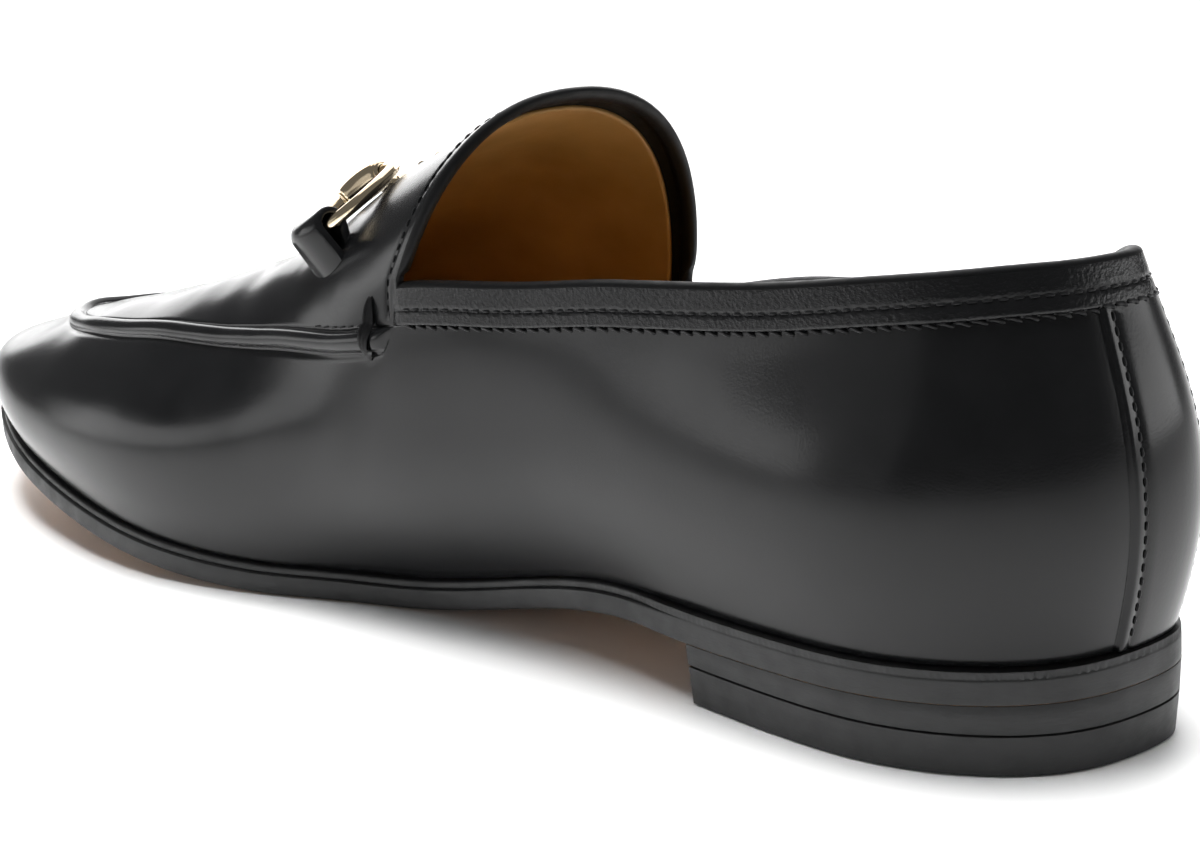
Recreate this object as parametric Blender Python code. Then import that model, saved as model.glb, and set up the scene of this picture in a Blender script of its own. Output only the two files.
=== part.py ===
# Bit loafer, right shoe, standing empty on its sole
# Metres, +Z up, toe towards -Y, medial side towards +X, origin under the middle of the shoe on the floor

import math

import bmesh
import bpy
import numpy as np
from mathutils import Matrix, Vector
from mathutils.bvhtree import BVHTree

# Driving sizes, metres
outsole_length = 0.260
ball_width = 0.083
sole_thickness = 0.0050
heel_height = 0.0095
first_lift_thickness = 0.0030
seat_pitch = 0.0015
toe_spring = 0.0140
instep_rise = 0.0800
ridge_crown = 0.0415
leather_wall = 0.0020
fit_gap = 0.0003
feather_inset = 0.0014
collar_band_width = 0.0073
collar_band_step = 0.0008
back_strap_width = 0.0170
back_strap_step = 0.0007
apron_bead_width = 0.0034
apron_bead_height = 0.0013
sole_edge_step = 0.0007
sole_edge_bevel = 0.0008
rand_height = 0.0013
tread_inset = 0.0040
seat_inset = 0.0042
heel_breast_at = 0.0670
heel_taper = 0.0009
breast_hollow = 0.0020
insole_thickness = 0.0018
insole_clearance = 0.0006
tongue_lay_back = 0.0095
ring_outer_diameter = 0.0208
ring_wire = 0.0021
ring_lift = 0.0022
barrel_length = 0.0100
barrel_width = 0.0052
barrel_collar = 0.0037
bar_width = 0.0029
knuckle_width = 0.0038
bar_clearance = 0.0006
tab_width = 0.0096
tab_thickness = 0.0013
slit_gap = 0.0004
leg_clearance = 0.0004
keeper_length = 0.0095
keeper_width = 0.0026
keeper_thickness = 0.0013

# Where the bit sits: stations are shares of the vamp from the throat to the toe tip,
# across is a share from the ridge to the seam line, and angles are degrees
bit_station = 0.178
ring_across = 0.41
ring_tilt = 4
barrel_angle = 32
tab_lean = 72
keeper_station = 0.042
keeper_rise = 0.50
keeper_facing = 30

# Profile of the sole along its length, shares of outsole_length from the heel back
seat_end = 0.290
tread_start = 0.535
tread_end = 0.610
spring_power = 1.45

# Sections of the last from the heel back to the toe tip, one row for both sides.
# along and seam_along: shares of outsole_length. Widths and bulges: shares of ball_width.
# Rises: shares of instep_rise, above the sole's top. Lean: degrees from upright at the seam line.
section_columns = (
    "along", "m_seam_along", "l_seam_along",
    "medial", "m_bulge", "m_bulge_rise", "m_seam", "m_rise", "m_lean",
    "lateral", "l_bulge", "l_bulge_rise", "l_seam", "l_rise", "l_lean",
)
section_rows = (
    (0.000, 0.016, 0.016, 0.000, 0.030, 0.26, 0.000, 0.610, 19, 0.000, 0.030, 0.26, 0.000, 0.610, 19),
    (0.012, 0.026, 0.028, 0.158, 0.030, 0.26, 0.138, 0.619, 18, 0.096, 0.028, 0.26, 0.084, 0.600, 18),
    (0.035, 0.045, 0.048, 0.252, 0.030, 0.26, 0.216, 0.622, 17, 0.168, 0.026, 0.26, 0.148, 0.572, 17),
    (0.070, 0.075, 0.077, 0.320, 0.030, 0.25, 0.274, 0.616, 15, 0.238, 0.026, 0.25, 0.208, 0.522, 16),
    (0.125, 0.126, 0.127, 0.364, 0.027, 0.25, 0.306, 0.597, 13, 0.306, 0.025, 0.25, 0.268, 0.470, 15),
    (0.190, 0.190, 0.190, 0.357, 0.030, 0.25, 0.316, 0.568, 12, 0.346, 0.024, 0.25, 0.308, 0.438, 14),
    (0.275, 0.275, 0.273, 0.315, 0.046, 0.27, 0.322, 0.544, 11, 0.370, 0.022, 0.24, 0.334, 0.404, 14),
    (0.370, 0.370, 0.358, 0.256, 0.088, 0.30, 0.334, 0.538, 9, 0.412, 0.020, 0.24, 0.374, 0.386, 13),
    (0.462, 0.468, 0.438, 0.242, 0.116, 0.32, 0.346, 0.572, 8, 0.474, 0.015, 0.23, 0.424, 0.400, 14),
    (0.530, 0.534, 0.520, 0.270, 0.098, 0.31, 0.328, 0.552, 12, 0.526, 0.012, 0.22, 0.426, 0.424, 22),
    (0.595, 0.595, 0.594, 0.332, 0.052, 0.28, 0.298, 0.528, 21, 0.572, 0.010, 0.20, 0.410, 0.434, 32),
    (0.660, 0.658, 0.658, 0.386, 0.026, 0.22, 0.274, 0.490, 32, 0.588, 0.010, 0.17, 0.388, 0.418, 42),
    (0.725, 0.719, 0.717, 0.404, 0.016, 0.17, 0.254, 0.450, 42, 0.560, 0.010, 0.14, 0.350, 0.390, 50),
    (0.780, 0.766, 0.762, 0.386, 0.012, 0.13, 0.230, 0.402, 48, 0.506, 0.010, 0.12, 0.300, 0.354, 55),
    (0.840, 0.812, 0.806, 0.344, 0.008, 0.10, 0.196, 0.350, 54, 0.428, 0.008, 0.10, 0.238, 0.316, 59),
    (0.893, 0.845, 0.839, 0.288, 0.006, 0.08, 0.154, 0.300, 58, 0.337, 0.006, 0.08, 0.176, 0.276, 61),
    (0.942, 0.873, 0.870, 0.208, 0.006, 0.07, 0.102, 0.258, 61, 0.229, 0.006, 0.07, 0.114, 0.242, 63),
    (0.977, 0.887, 0.886, 0.124, 0.006, 0.06, 0.050, 0.228, 63, 0.130, 0.006, 0.06, 0.056, 0.220, 64),
    (1.000, 0.892, 0.892, 0.000, 0.006, 0.06, 0.000, 0.212, 64, 0.000, 0.006, 0.06, 0.000, 0.212, 64),
)
throat_row = 8

# Crown of the vamp over the seam line, at the same rows from the throat to the toe tip.
# crown: share of ridge_crown. shift: share of ball_width. slope: degrees from upright at the seam.
crown_columns = ("crown", "shift", "slope", "fullness")
crown_rows = (
    (0.985, 0.088, 0, 0.66),
    (0.760, 0.056, 12, 0.58),
    (0.445, 0.030, 32, 0.52),
    (0.270, 0.012, 50, 0.48),
    (0.160, 0.006, 62, 0.48),
    (0.100, 0.002, 68, 0.48),
    (0.066, 0.000, 72, 0.48),
    (0.042, 0.000, 75, 0.48),
    (0.020, 0.000, 78, 0.48),
    (0.006, 0.000, 80, 0.48),
    (0.000, 0.000, 82, 0.48),
)

# Shares up the wall: where its bulge lies, and the bead's foot and top below the seam line
bulge_share = 0.4
bead_foot = 1.22
bead_top = 0.45

# How full the curves are: pulls of the wall's curve at the feather line and at its bulge,
# the crown's reach over the seam line, and the run over the arch in heights of its crown
foot_pull = 1.5
foot_lift = 0.9
bulge_pull = 1.25
crown_reach = 0.50
arch_run = 1.15

# Shares of the bar's half length and of the keeper's size
knuckle_spread = 0.2
keeper_tip = 0.06
keeper_taper = 2.2
keeper_plan = 0.6
keeper_crown = 1.15

loop_points = 104
wall_steps = 5
band_steps = 2
arch_steps = 9
heel_points = 33
breast_points = 9
search_points = 400


def remove_start_objects():
    for obj in list(bpy.data.objects):
        bpy.data.objects.remove(obj, do_unlink=True)


def column(name):
    index = section_columns.index(name)
    return np.array([row[index] for row in section_rows])


def crown_column(name):
    index = crown_columns.index(name)
    return np.array([row[index] for row in crown_rows])


class LoopSpline:
    """Smooth closed curve through values at rising knots."""

    def __init__(self, knots, values, period):
        self.knots = np.append(knots, knots[0] + period)
        self.values = np.append(values, values[0])
        self.period = period
        count = len(knots)
        step = np.diff(self.knots)
        rise = np.diff(self.values) / step
        matrix = np.zeros((count, count))
        right = np.zeros(count)
        for k in range(count):
            before = step[k - 1]
            after = step[k]
            matrix[k, k] = 2 / before + 2 / after
            matrix[k, k - 1] += 1 / before
            matrix[k, (k + 1) % count] += 1 / after
            right[k] = 3 * (rise[k - 1] / before + rise[k] / after)
        slopes = np.linalg.solve(matrix, right)
        self.slopes = np.append(slopes, slopes[0])

    def parts(self, place):
        place = self.knots[0] + np.mod(np.asarray(place, float) - self.knots[0], self.period)
        k = np.clip(np.searchsorted(self.knots, place, side="right") - 1, 0, len(self.knots) - 2)
        step = self.knots[k + 1] - self.knots[k]
        return k, step, (place - self.knots[k]) / step

    def at(self, place):
        k, step, t = self.parts(place)
        start = (2 * t**3 - 3 * t**2 + 1) * self.values[k] + (t**3 - 2 * t**2 + t) * step * self.slopes[k]
        end = (3 * t**2 - 2 * t**3) * self.values[k + 1] + (t**3 - t**2) * step * self.slopes[k + 1]
        return start + end

    def slope(self, place):
        k, step, t = self.parts(place)
        values = (6 * t**2 - 6 * t) * (self.values[k] - self.values[k + 1]) / step
        return values + (3 * t**2 - 4 * t + 1) * self.slopes[k] + (3 * t**2 - 2 * t) * self.slopes[k + 1]


def side_knots():
    """Common place of each section row along both sides."""
    along = column("along") * outsole_length
    medial = column("medial") * ball_width
    lateral = column("lateral") * ball_width
    steps = (np.hypot(np.diff(along), np.diff(medial)) + np.hypot(np.diff(along), np.diff(lateral))) / 2
    return np.concatenate([[0.0], np.cumsum(steps)])


side_places = side_knots()
side_length = side_places[-1]
loop_length = 2 * side_length
loop_knots = np.concatenate([side_places, (loop_length - side_places[1:-1])[::-1]])


def around(medial_values, lateral_values):
    """Closed spline from the heel back up the medial side, round the toe and down the lateral side."""
    values = np.concatenate([medial_values, lateral_values[1:-1][::-1]])
    return LoopSpline(loop_knots, values, loop_length)


outline_x = around(column("medial") * ball_width, -column("lateral") * ball_width)
outline_y = around(*[outsole_length * (0.5 - column("along"))] * 2)
bulge_out = around(column("m_bulge") * ball_width, column("l_bulge") * ball_width)
bulge_rise = around(column("m_bulge_rise") * instep_rise, column("l_bulge_rise") * instep_rise)
seam_x = around(column("m_seam") * ball_width, -column("l_seam") * ball_width)
seam_y = around(*[outsole_length * (0.5 - column(name)) for name in ("m_seam_along", "l_seam_along")])
seam_rise = around(column("m_rise") * instep_rise, column("l_rise") * instep_rise)
seam_lean = around(np.radians(column("m_lean")), np.radians(column("l_lean")))


def sole_bottom(y):
    """Height of the sole's underside: level seat, falling waist, level tread, then toe spring."""
    along = 0.5 - y / outsole_length
    fall = np.clip((along - seat_end) / (tread_start - seat_end), 0, 1)
    waist = (heel_height + fit_gap) * (1 + np.cos(math.pi * fall)) / 2
    waist = waist + seat_pitch * np.clip(1 - along / seat_end, 0, None)
    spring = np.clip((along - tread_end) / (1 - tread_end), 0, None) ** spring_power * toe_spring
    return waist + spring


def outline_point(place, inset):
    """Point of the sole's outline moved inwards, and the point of the outline itself."""
    tangent = np.array([outline_x.slope(place), outline_y.slope(place)])
    tangent = tangent / np.linalg.norm(tangent, axis=0)
    inward = np.array([tangent[1], -tangent[0]])
    base = np.array([outline_x.at(place), outline_y.at(place)])
    return base + inward * inset, base


def sole_top(place):
    return float(sole_bottom(outline_y.at(place))) + sole_thickness


def seam_point(place):
    """Point of the seam line, which runs on round the heel as the collar band's lower edge."""
    return np.array([seam_x.at(place), seam_y.at(place), sole_top(place) + seam_rise.at(place)])


def hermite(start, end, start_pull, end_pull, t):
    return (
        (2 * t**3 - 3 * t**2 + 1) * start
        + (t**3 - 2 * t**2 + t) * start_pull
        + (3 * t**2 - 2 * t**3) * end
        + (t**3 - t**2) * end_pull
    )


def wall_point(place, share):
    """Point of the side wall: share 0 at the feather line, 1 at the seam line."""
    base_height = sole_top(place)
    feather = np.append(outline_point(place, feather_inset)[0], base_height + fit_gap)
    bulge = outline_point(place, -bulge_out.at(place))[0]
    bulge = np.append(bulge, base_height + bulge_rise.at(place))
    seam = seam_point(place)
    lean = seam_lean.at(place)
    middle = bulge_share
    up = np.array([0.0, 0.0, 1.0])
    if share < middle:
        low_rise = bulge[2] - feather[2]
        start_pull = (bulge - feather) * foot_pull
        start_pull[2] = low_rise * foot_lift
        return hermite(feather, bulge, start_pull, up * low_rise, share / middle)
    across = seam - bulge
    across[2] = 0
    width = max(np.linalg.norm(across), 1e-9)
    direction = inward_direction(place)
    reach = math.hypot(width, seam[2] - bulge[2])
    end_pull = (direction * math.sin(lean) + up * math.cos(lean)) * reach
    bulge_rise_pull = up * (seam[2] - bulge[2]) * bulge_pull
    return hermite(bulge, seam, bulge_rise_pull, end_pull, (share - middle) / (1 - middle))


def inward_direction(place):
    """Level direction inwards at the seam line."""
    tangent = np.array([seam_x.slope(place), seam_y.slope(place)])
    tangent = tangent / np.linalg.norm(tangent)
    return np.array([tangent[1], -tangent[0], 0.0])


def band_point(place, share):
    """Point of the collar band: share 0 at the seam line, 1 at the topline."""
    lean = seam_lean.at(place)
    direction = inward_direction(place) * math.sin(lean) + np.array([0.0, 0.0, math.cos(lean)])
    return seam_point(place) + direction * collar_band_width * share


throat_place = side_places[throat_row]
crown_places = side_places[throat_row:]


def crown_value(name, place):
    return float(np.interp(place, crown_places, crown_column(name)))


def crown_point(place, across):
    """Point of the vamp: across -1 on the medial seam line, 0 on the ridge, 1 on the lateral one."""
    medial = seam_point(place)
    lateral = seam_point(loop_length - place)
    share = crown_value("crown", place)
    slope = math.radians(crown_value("slope", place))
    fullness = crown_value("fullness", place)
    shift = crown_value("shift", place) * ball_width
    ridge = (medial + lateral) / 2 + np.array([shift, 0, share * ridge_crown])
    foot = medial if across < 0 else lateral
    flat = ridge - foot
    flat[2] = 0
    width = np.linalg.norm(flat)
    if width < 1e-6:
        return foot
    inward = flat / width
    lift = ridge[2] - foot[2]
    reach = math.hypot(width, lift) * crown_reach
    near_foot = foot + inward * math.sin(slope) * reach
    near_foot[2] = foot[2] + math.cos(slope) * reach
    near_ridge = ridge - inward * width * fullness
    t = 1 - abs(across)
    point = ((1 - t) ** 3 * foot + 3 * (1 - t) ** 2 * t * near_foot
             + 3 * (1 - t) * t**2 * near_ridge + t**3 * ridge)
    # the tongue leans back with its height above the collar's front corner
    if lift > collar_band_width:
        height = max(point[2] - foot[2] - collar_band_width, 0.0) / (lift - collar_band_width)
        point[1] += tongue_lay_back * share**2 * height
    return point


class Sheet:
    """Grid of points and faces that share corners by name."""

    def __init__(self):
        self.index = {}
        self.points = []
        self.faces = []

    def add(self, key, point):
        if key not in self.index:
            self.index[key] = len(self.points)
            self.points.append(np.array(point, float))
        return self.index[key]

    def face(self, keys):
        corners = []
        for key in keys:
            corner = self.index[key]
            if corner not in corners:
                corners.append(corner)
        if len(corners) > 2:
            self.faces.append(corners)


def loop_places():
    """Places round the loop, the same on both sides, with a station at the throat."""
    half = loop_points // 2
    rear = int(round(half * throat_place / side_length))
    rear_places = np.linspace(0, throat_place, rear + 1)
    front_places = np.linspace(throat_place, side_length, half - rear + 1)
    medial = np.concatenate([rear_places, front_places[1:]])
    return np.concatenate([medial, (loop_length - medial[1:-1])[::-1]]), rear, half


def wall_shares(place):
    """Shares up the wall, with close rows for the rolled bead under the seam line."""
    upper_run = np.linalg.norm(wall_point(place, 1) - wall_point(place, bulge_share))
    bead = apron_bead_width / upper_run * (1 - bulge_share)
    rows = list(np.linspace(0, 1 - bead * bead_foot, wall_steps + 1))
    return rows + [1 - bead, 1 - bead * bead_top, 1.0]


def upper_sheet():
    """Outer skin of the upper on the last, with the names of its corners."""
    sheet = Sheet()
    places, rear, half = loop_places()
    count = len(places)
    for i, place in enumerate(places):
        for j, share in enumerate(wall_shares(place)):
            sheet.add(("wall", i, j), wall_point(place, share))
    seam = wall_steps + 3
    for i in range(count):
        after = (i + 1) % count
        for j in range(seam):
            sheet.face([("wall", i, j), ("wall", after, j), ("wall", after, j + 1), ("wall", i, j + 1)])

    def band_key(i, k):
        return ("wall", i, seam) if k == 0 else ("band", i, k)

    band_places = [i % count for i in range(-rear, rear + 1)]
    for i in band_places:
        for k in range(1, band_steps + 1):
            sheet.add(("band", i, k), band_point(places[i], k / band_steps))
    for i, after in zip(band_places[:-1], band_places[1:]):
        for k in range(band_steps):
            sheet.face([band_key(i, k), band_key(after, k), band_key(after, k + 1), band_key(i, k + 1)])

    # the vamp shares the band's front corner points at the throat
    columns = band_steps + arch_steps
    for i in range(rear, half):
        start = collar_band_width / (collar_band_width + ridge_crown * arch_run)
        low = np.linspace(0, start, band_steps + 1)
        high = np.linspace(start, 1, arch_steps + 1)
        steps = np.concatenate([low, high[1:]])
        for side, station in ((-1, i), (1, count - i)):
            for k in range(1, columns + 1):
                if k == columns:
                    key = ("ridge", i)
                elif i == rear and k <= band_steps:
                    continue
                else:
                    key = ("crown", station, k)
                sheet.add(key, crown_point(places[i], side * (1 - steps[k])))

    def crown_key(station, i, k):
        if i == half:
            return ("wall", half, seam)
        if k == 0:
            return ("wall", station, seam)
        if k == columns:
            return ("ridge", i)
        if i == rear and k <= band_steps:
            return ("band", station, k)
        return ("crown", station, k)

    for i in range(rear, half):
        for k in range(columns):
            sheet.face([crown_key(i, i, k), crown_key(i + 1, i + 1, k),
                        crown_key(i + 1, i + 1, k + 1), crown_key(i, i, k + 1)])
            near = (count - i) % count
            after = count - i - 1
            sheet.face([crown_key(near, i, k), crown_key(near, i, k + 1),
                        crown_key(after, i + 1, k + 1), crown_key(after, i + 1, k)])
    return sheet, places, rear, half, seam


def corner_normals(points, faces):
    """Area-weighted normal at each point, from faces that turn the same way."""
    normals = np.zeros_like(points)
    for face in faces:
        corners = points[face]
        for k in range(1, len(face) - 1):
            turn = np.cross(corners[k] - corners[0], corners[k + 1] - corners[0])
            for corner in (face[0], face[k], face[k + 1]):
                normals[corner] += turn
    lengths = np.linalg.norm(normals, axis=1)
    return normals / lengths[:, None]


def open_edges(faces):
    """Edges that only one face uses, in that face's direction."""
    used = {}
    for face in faces:
        for a, b in zip(face, face[1:] + face[:1]):
            used[(a, b)] = used.get((a, b), 0) + 1
    return [edge for edge in used if (edge[1], edge[0]) not in used]


def make_object(name, points, faces, material):
    mesh = bpy.data.meshes.new(name)
    mesh.from_pydata([tuple(map(float, point)) for point in points], [], [list(map(int, f)) for f in faces])
    shell = bmesh.new()
    shell.from_mesh(mesh)
    bmesh.ops.recalc_face_normals(shell, faces=shell.faces)
    shell.to_mesh(mesh)
    shell.free()
    mesh.materials.append(material)
    mesh.shade_smooth()
    mesh.set_sharp_from_angle(angle=math.radians(35))
    obj = bpy.data.objects.new(name, mesh)
    bpy.context.collection.objects.link(obj)
    return obj


def make_material(name, colour, roughness, metallic=0.0):
    material = bpy.data.materials.new(name)
    material.use_nodes = True
    shader = material.node_tree.nodes["Principled BSDF"]
    shader.inputs["Base Color"].default_value = (*colour, 1)
    shader.inputs["Roughness"].default_value = roughness
    shader.inputs["Metallic"].default_value = metallic
    return material


def raise_steps(sheet, normals, places, rear, half, seam):
    """Outer points with the apron bead, collar band and back strap raised on the wall."""
    raised = [point.copy() for point in sheet.points]
    count = len(places)
    heel_run = np.minimum(places, loop_length - places)
    for (kind, i, *rest), corner in sheet.index.items():
        step = 0.0
        if kind == "wall":
            j = rest[0]
            vamp = rear < i < count - rear
            if vamp and seam - 2 <= j < seam:
                step = apron_bead_height
            if heel_run[i] <= back_strap_width / 2 and j < seam:
                step = max(step, back_strap_step)
        if kind == "band":
            step = collar_band_step
        raised[corner] += normals[corner] * step
    return raised


def make_upper(material):
    """The upper, and a search tree of its outer skin for the pieces that sit on it."""
    sheet, places, rear, half, seam = upper_sheet()
    points = np.array(sheet.points)
    normals = corner_normals(points, sheet.faces)
    middle = points.mean(axis=0)
    if np.mean(np.sum(normals * (points - middle), axis=1)) < 0:
        normals = -normals
    outer = np.array(raise_steps(sheet, normals, places, rear, half, seam))
    inner = points - normals * leather_wall
    for (kind, i, *rest), corner in sheet.index.items():
        if kind == "wall" and rest[0] == 0:
            inner[corner][2] = outer[corner][2]
    count = len(points)
    faces = [list(face) for face in sheet.faces]
    faces += [[corner + count for corner in reversed(face)] for face in sheet.faces]
    for a, b in open_edges(sheet.faces):
        faces.append([b, a, a + count, b + count])
    make_object("upper", np.concatenate([outer, inner]), faces, material)
    return BVHTree.FromPolygons([tuple(point) for point in outer], sheet.faces)


def paired_cap(rings, faces, turned):
    """Close a ring of points by strips between its two sides, from the heel back to the toe."""
    count = len(rings)
    half = count // 2
    for i in range(half):
        near = rings[i]
        near_next = rings[i + 1]
        far = rings[(count - i) % count]
        far_next = rings[count - i - 1]
        face = []
        for corner in (near, near_next, far_next, far):
            if corner not in face:
                face.append(corner)
        faces.append(face if turned else face[::-1])


def make_slab(name, profile, material, places):
    """Solid between a low and a high surface over the outline: rows of (inset, height function)."""
    points = []
    faces = []
    rings = []
    for inset, height in profile:
        ring = []
        for place in places:
            point, base = outline_point(place, inset)
            ring.append(len(points))
            points.append((point[0], point[1], height(point[1])))
        rings.append(ring)
    count = len(places)
    for low, high in zip(rings[:-1], rings[1:]):
        for i in range(count):
            after = (i + 1) % count
            faces.append([low[i], low[after], high[after], high[i]])
    paired_cap(rings[0], faces, True)
    paired_cap(rings[-1], faces, False)
    return make_object(name, points, faces, material)


def make_outsole(material):
    def level(rise):
        return lambda y: float(sole_bottom(y)) + rise

    top = sole_thickness
    profile = (
        (tread_inset, level(0)),
        (sole_edge_bevel, level(0)),
        (0.0, level(sole_edge_bevel)),
        (0.0, level(top - rand_height)),
        (sole_edge_step, level(top - rand_height)),
        (sole_edge_step, level(top)),
        (seat_inset, level(top)),
    )
    return make_slab("outsole", profile, material, loop_places()[0])


def make_insole(material):
    inset = feather_inset + leather_wall + insole_clearance
    base = sole_thickness + fit_gap

    def level(rise):
        return lambda y: float(sole_bottom(y)) + base + rise

    profile = (
        (inset, level(0)),
        (inset, level(insole_thickness)),
    )
    return make_slab("insole", profile, material, loop_places()[0])


def heel_outline(inset):
    """Heel outline in plan: round the back between the two breast corners, then the hollow breast."""
    places = loop_places()[0]
    breast_y = outsole_length / 2 - heel_breast_at
    search = np.linspace(0, side_length, search_points)
    side = np.interp(-breast_y, -outline_y.at(search), search)
    round_places = np.linspace(-side, side, heel_points)
    points = [outline_point(place, inset)[0] for place in round_places]
    first = points[0]
    last = points[-1]
    hollow = []
    for t in np.linspace(0, 1, breast_points)[1:-1]:
        x = last[0] + (first[0] - last[0]) * t
        y = last[1] + (first[1] - last[1]) * t
        hollow.append(np.array([x, y + breast_hollow * 4 * t * (1 - t)]))
    return points + hollow


def make_lift(name, low, high, low_inset, high_inset, material):
    """Lift between two heights, each a function of y, closed by strips across the heel."""
    points = []
    for height, inset in ((low, low_inset), (high, high_inset)):
        points += [(x, y, height(y)) for x, y in heel_outline(inset)]
    count = len(points) // 2
    faces = [[i, (i + 1) % count, (i + 1) % count + count, i + count] for i in range(count)]
    for base, turned in ((0, True), (count, False)):
        # strips run from the back of the heel to its breast, whose points pair with each other
        middle = heel_points // 2
        pairs = [(base + middle - k, base + middle + k) for k in range(middle + 1)]
        pairs += [(base + count - k, base + heel_points - 1 + k) for k in range(1, (breast_points - 2) // 2 + 1)]
        tip = base + heel_points + (breast_points - 2) // 2
        pairs.append((tip, tip))
        for (left, right), (next_left, next_right) in zip(pairs[:-1], pairs[1:]):
            face = []
            for corner in (left, next_left, next_right, right):
                if corner not in face:
                    face.append(corner)
            faces.append(face if turned else face[::-1])
    return make_object(name, points, faces, material)


def make_heel(lift_material, top_lift_material):
    first_low = heel_height - first_lift_thickness
    taper_at_joint = heel_taper * first_lift_thickness / heel_height

    def seat(y):
        return float(sole_bottom(y)) - fit_gap

    make_lift("heel_lift", lambda y: first_low, seat, taper_at_joint, 0.0, lift_material)
    top = first_low - fit_gap
    make_lift("heel_top_lift", lambda y: 0.0, lambda y: top, heel_taper, taper_at_joint, top_lift_material)


def skin_frame(place, across):
    """Point of the vamp's skin with its outward normal, the way to the ridge and the way to the heel."""
    step = 0.01
    point = crown_point(place, across)
    along = crown_point(place - ring_wire, across) - crown_point(place + ring_wire, across)
    over = crown_point(place, across * (1 - step)) - crown_point(place, across * (1 + step))
    normal = np.cross(along, over)
    normal = normal / np.linalg.norm(normal) * math.copysign(1, normal[2])
    along = along / np.linalg.norm(along)
    inward = np.cross(normal, along)
    return point, normal, inward * math.copysign(1, np.dot(inward, over)), along


def ring_frame(side):
    """Centre of a ring, its axis, the way to the ridge and the way to the heel, tilted off the skin."""
    place = throat_place + bit_station * (side_length - throat_place)
    across = ring_across if side == "lateral" else -ring_across
    point, normal, inward, along = skin_frame(place, across)
    tilt = math.radians(ring_tilt)
    axis = normal * math.cos(tilt) + along * math.sin(tilt)
    heelward = along * math.cos(tilt) - normal * math.sin(tilt)
    return point + normal * ring_lift, axis, inward, heelward


def ring_section(side, angle):
    """Middle of the wire at an angle from the ridge side towards the toe, and the way out from the centre."""
    centre, axis, inward, heelward = ring_frame(side)
    out = inward * math.cos(angle) - heelward * math.sin(angle)
    return centre + out * (ring_outer_diameter - ring_wire) / 2, out, axis


def wire_ring(points, side, angle, radius, corners):
    """Corners of one section round the wire's middle, added to the points."""
    middle, out, axis = ring_section(side, angle)
    ring = []
    for turn in np.linspace(0, 2 * math.pi, corners, endpoint=False):
        ring.append(len(points))
        points.append(middle + (out * math.cos(turn) + axis * math.sin(turn)) * radius)
    return ring


def closed_tube(rings):
    """Faces of a tube whose last ring joins the first one."""
    faces = []
    count = len(rings[0])
    for low, high in zip(rings, rings[1:] + rings[:1]):
        for k in range(count):
            after = (k + 1) % count
            faces.append([low[k], low[after], high[after], high[k]])
    return faces


def capped_tube(rings):
    """Faces of a tube with flat ends."""
    faces = closed_tube(rings)[:-len(rings[0])]
    return faces + [rings[0][::-1], list(rings[-1])]


def make_ring(side, material):
    points = []
    turns = np.linspace(0, 2 * math.pi, 32, endpoint=False)
    rings = [wire_ring(points, side, angle, ring_wire / 2, 8) for angle in turns]
    make_object(f"bit_ring_{side}", points, closed_tube(rings), material)


def make_barrel(side, material):
    """Swelling sleeve round the ring's inner run, bored for the wire, with a collar at each end."""
    points = []
    reach = barrel_length / (ring_outer_diameter - ring_wire)
    middle = math.radians(barrel_angle)
    shares = np.linspace(-1, 1, 9)
    swell = (barrel_width - barrel_collar) / 2
    rings = []
    for share in shares:
        radius = barrel_collar / 2 + swell * math.sqrt(max(1 - share**2, 0))
        rings.append(wire_ring(points, side, middle + share * reach, radius, 12))
    for share in shares[::-1]:
        rings.append(wire_ring(points, side, middle + share * reach, ring_wire / 2 + fit_gap, 12))
    return make_object(f"barrel_{side}", points, closed_tube(rings), material)


def barrel_middles():
    """Middle of each barrel and the way out of it towards the other one."""
    angle = math.radians(barrel_angle)
    return [ring_section(side, angle)[:2] for side in ("medial", "lateral")]


def bar_path(skin):
    """Middle line of the bar, from barrel to barrel and clear of the ridge under its knuckle."""
    start, end = [middle + out * (barrel_width / 2 - fit_gap) for middle, out in barrel_middles()]
    chord = (start + end) / 2
    axis = ring_frame("medial")[1] + ring_frame("lateral")[1]
    axis = axis / np.linalg.norm(axis)
    hit = skin.ray_cast(Vector(chord + axis * outsole_length), Vector(-axis))[0]
    top = np.array(hit) + axis * (knuckle_width / 2 + bar_clearance)
    control = top * 2 - chord
    share = np.linspace(0, 1, 17)[:, None]
    return (1 - share) ** 2 * start + 2 * (1 - share) * share * control + share**2 * end


def join(obj, other):
    """Union of another shape into an object, after which the other shape is removed."""
    modifier = obj.modifiers.new("Union", "BOOLEAN")
    modifier.operation = "UNION"
    modifier.object = other
    graph = bpy.context.evaluated_depsgraph_get()
    mesh = bpy.data.meshes.new_from_object(obj.evaluated_get(graph))
    obj.modifiers.clear()
    obj.data = mesh
    bpy.data.objects.remove(other, do_unlink=True)


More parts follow.
